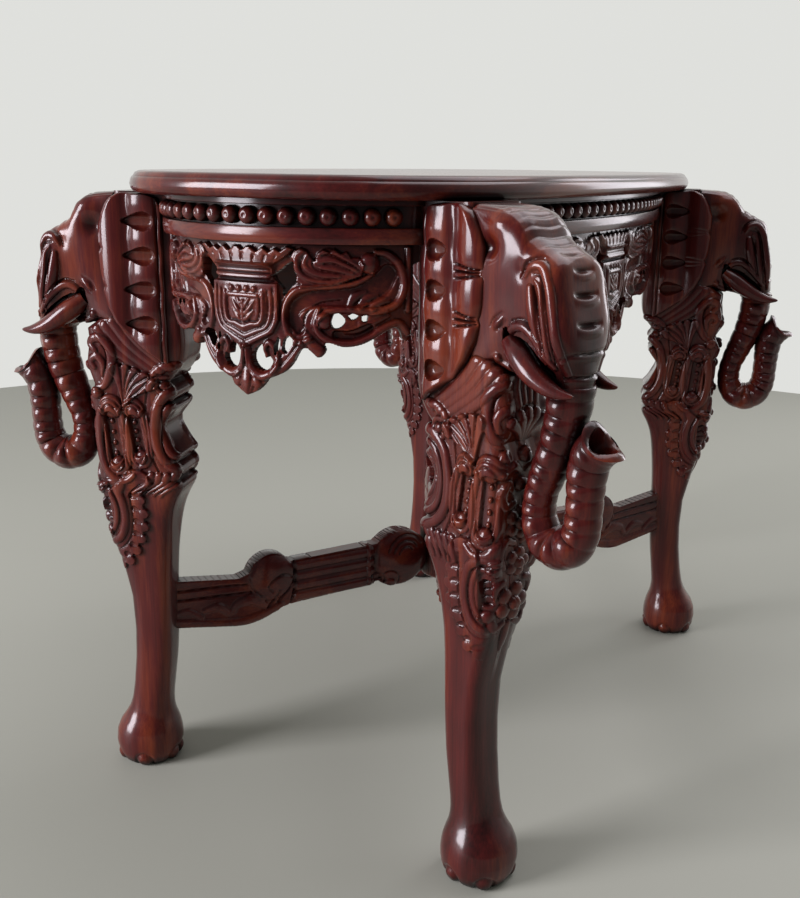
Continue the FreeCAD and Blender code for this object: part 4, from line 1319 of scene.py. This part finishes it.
def armLayers():
    reeds = [[(136, z, 7.8), (250, z, 7.8)] for z in (199, 214, 229, 244)]
    domes = [[arm["scroll"]], [(84, 228, 44)]]
    leaves = [
        [(300, 194, 5), (318, 206, 8), (340, 204, 6), (348, 193, 5)],
        [(352, 192, 4), (368, 205, 6), (388, 203, 4)],
        [(392, 194, 4), (410, 206, 5), (430, 205, 4)],
        [(276, 190, 5), (306, 181, 6), (338, 178, 6), (384, 185, 6), (430, 194, 5)],
    ]
    bead = [[(138, 252, 3.4), (138, 196, 3.4)]]
    lobes = [[(122, 192, 9)], [(104, 188, 10)]]
    grooves = [
        # between the scroll and the reeds, and round the curl of the scroll
        [(256, 256, 2.4), (255, 234, 2.8), (256, 206, 2.8), (262, 188, 2.2)],
        [(258, 229, 2), (272, 236, 2.6), (287, 232, 2.6), (296, 222, 2.4), (290, 213, 2)],
        [(262, 214, 2), (271, 205, 2.4), (281, 195, 2)],
        [(279, 214, 1.8), (284, 203, 2.4), (296, 190, 2)],
        [(312, 258, 1.8), (322, 238, 2.4), (318, 222, 2.4), (306, 210, 2)],
        # long lines next to the leg
        [(322, 229, 2), (360, 233, 2.6), (430, 238, 2.4)],
        [(318, 217, 2), (360, 220, 2.6), (430, 225, 2.4)],
    ]
    grooves += [arc(78, 232, reach, 15, 150, 2.2) for reach in (12, 21, 30)]
    grooves += [arc(104, 196, 15, 20, 200, 2), arc(124, 196, 13, 10, 180, 2)]
    return [(swell, 0.5, reeds), (swell, 0.2, domes), (swell, 0.45, leaves), (swell, 0.8, bead),
            (swell, 0.5, lobes), (cut, -1.1, grooves)]


def armPieces():
    scrollA, scrollB, reach = arm["scroll"]
    outline = arm["shank"] + ovalRun(scrollA, scrollB, reach, reach, *arm["scrollTurn"])
    outline += ovalRun(*arm["volute"], *arm["voluteTurn"])
    outline += smoothRun(arm["belly"], 4.0).tolist()
    layers = armLayers()

    def relief(flat):
        return carve(flat, layers)

    body = carvedSlab("arm pattern", [np.array(outline)], relief, -arm["face"], arm["face"], arm["step"],
                      arm["roll"], True)
    for corner in legPlaces["corners"]:
        shank = legMatrix(corner) @ Vector((arm["axis"], 0, 0))
        heading = Matrix.Rotation(math.atan2(shank.y, shank.x), 4, "Z") @ Matrix.Scale(mm, 4)
        setPlace(body, "scrolled_arm_" + corner, heading, "stretcher_arm_" + corner, longLacquer)
    discard(body)


hub = {"radius": 37.5, "foot": 184, "height": 84, "sides": 64, "bevel": 10, "bevelSteps": 6}


def hubPiece():
    middle = (0, 0, hub["foot"] + hub["height"] / 2)
    bpy.ops.mesh.primitive_cylinder_add(vertices=hub["sides"], radius=hub["radius"], depth=hub["height"],
                                        location=middle)
    boss = bpy.context.active_object
    bpy.ops.object.transform_apply(location=True, rotation=True, scale=True)
    bpy.ops.object.mode_set(mode="EDIT")
    bpy.ops.mesh.select_all(action="SELECT")
    bpy.ops.mesh.bevel(offset=hub["bevel"], segments=hub["bevelSteps"], affect="EDGES")
    bpy.ops.object.mode_set(mode="OBJECT")
    tidy(boss)
    setPlace(boss, "stretcher_boss", Matrix.Scale(mm, 4), "stretcher_hub", uprightLacquer)
    discard(boss)


armPieces()
hubPiece()
print("stretcher made")

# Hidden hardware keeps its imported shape

def paintNode(name, finish):
    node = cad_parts[name]
    node.data.materials.clear()
    node.data.materials.append(finish)


for cornerName in legPlaces["corners"]:
    paintNode("corner_block_" + cornerName, blockWood)
for groupName in ("head_dowels", "trunk_dowels"):
    paintNode(groupName, blockWood)
for groupName in ("top_screws", "corner_block_screws"):
    paintNode(groupName, steel)

# Floor, light and camera

studio = {
    "floor": 2.6, "floorSides": 128,    # radius
    "floorColour": (0.40, 0.408, 0.352),
    # clouds to a metre, how much of the floor they make a little darker, and how much stays of its colour
    "cloud": (3, 0.25, 0.9),
    "floorFinish": (0.6, 0.2),          # roughness and gloss
    "backdrop": (0.74, 0.745, 0.72),
    "behind": (0.12, 0.12, 0.125),      # dimmer backdrop behind the camera
    "farSide": (0.87, 0.49),            # the way the camera looks
    "turnDark": (-0.60, 0.30),          # where the backdrop goes from dim to pale, on that way
    "ambient": 0.36,
    "lamp": (0.97, 0.93, 1.0),
    "lights": [
        # place, aim, width, height, watts
        ((-3.95, 2.85, 1.65), (-0.1, 0.0, 0.45), 1.9, 2.9, 360),
        ((0.9, -0.7, 3.0), (0.3, -0.2, 0.0), 2.4, 2.4, 42),
        ((2.5, -1.2, 1.3), (0.1, 0.0, 0.55), 0.8, 1.7, 15),
    ],
}
view = {
    "place": (-1.3615, -0.6852, 0.7941),
    "yaw": 0.5127, "pitch": 0.2614, "roll": 0.013,      # radians, pitch downwards
    "lens": 42.45, "shift": -0.006,
}


def makeFloor():
    bpy.ops.mesh.primitive_circle_add(vertices=studio["floorSides"], radius=studio["floor"],
                                      fill_type="NGON")
    floor = bpy.context.active_object
    floor.name = "floor"
    paint = Paint("pale floor")
    size, much, darker = studio["cloud"]
    colour = studio["floorColour"]
    cloud = paint.noise(paint.place, size, 2)
    tint = paint.mix(cloud * much, colour, [darker * c for c in colour])
    rough, gloss = studio["floorFinish"]
    floor.data.materials.append(paint.finish(Base_Color=tint, Roughness=rough, Specular_IOR_Level=gloss))


def makeWorld():
    # a pale backdrop for the camera and the gloss, and a softer level of the light it gives
    world = bpy.data.worlds.new("studio")
    bpy.context.scene.world = world
    world.use_nodes = True
    shades = Shades(world.node_tree)
    shades.tree.nodes.remove(shades.tree.nodes["Background"])
    way = shades.node("ShaderNodeTexCoord", output="Generated")
    x, y = shades.node("ShaderNodeSeparateXYZ", {}, {"Vector": way}, ("X", "Y"))
    farX, farY = studio["farSide"]
    dim, pale = studio["turnDark"]
    towards = {"Value": x * farX + y * farY, "From Min": dim, "From Max": pale}
    ahead = shades.node("ShaderNodeMapRange", {}, towards)
    rays = ("Is Camera Ray", "Is Glossy Ray", "Is Transmission Ray")
    camera, glossy, through = shades.node("ShaderNodeLightPath", output=rays)
    colour = shades.mix(ahead.larger(camera), studio["behind"], studio["backdrop"])
    shown = shades.node("ShaderNodeBackground", {}, {"Color": colour})
    ambient = {"Color": studio["backdrop"], "Strength": studio["ambient"]}
    light = shades.node("ShaderNodeBackground", {}, ambient)
    seen = camera.larger(glossy.larger(through))
    both = shades.node("ShaderNodeMixShader", {}, {0: seen, 1: light, 2: shown})
    shades.feed(shades.tree.nodes["World Output"].inputs["Surface"], both)


def makeLights():
    for place, aim, width, height, watts in studio["lights"]:
        bpy.ops.object.light_add(type="AREA", location=place)
        lamp = bpy.context.active_object
        lamp.data.shape = "RECTANGLE"
        lamp.data.size = width
        lamp.data.size_y = height
        lamp.data.energy = watts
        lamp.data.color = studio["lamp"]
        lamp.rotation_euler = (Vector(aim) - Vector(place)).to_track_quat("-Z", "Y").to_euler()


def makeCamera():
    yaw, pitch, roll = view["yaw"], view["pitch"], view["roll"]
    ahead = Vector((math.cos(yaw) * math.cos(pitch), math.sin(yaw) * math.cos(pitch), -math.sin(pitch)))
    level = Vector((math.sin(yaw), -math.cos(yaw), 0))
    upright = level.cross(ahead)
    right = level * math.cos(roll) + upright * math.sin(roll)
    up = upright * math.cos(roll) - level * math.sin(roll)
    camera = bpy.data.objects.new("camera", bpy.data.cameras.new("camera"))
    bpy.context.scene.collection.objects.link(camera)
    turn = Matrix((right, up, -ahead)).transposed().to_4x4()
    camera.matrix_world = Matrix.Translation(view["place"]) @ turn
    camera.data.lens = view["lens"]
    camera.data.shift_y = view["shift"]
    bpy.context.scene.camera = camera


makeFloor()
makeWorld()
makeLights()
makeCamera()
bpy.context.scene.view_settings.view_transform = "Standard"
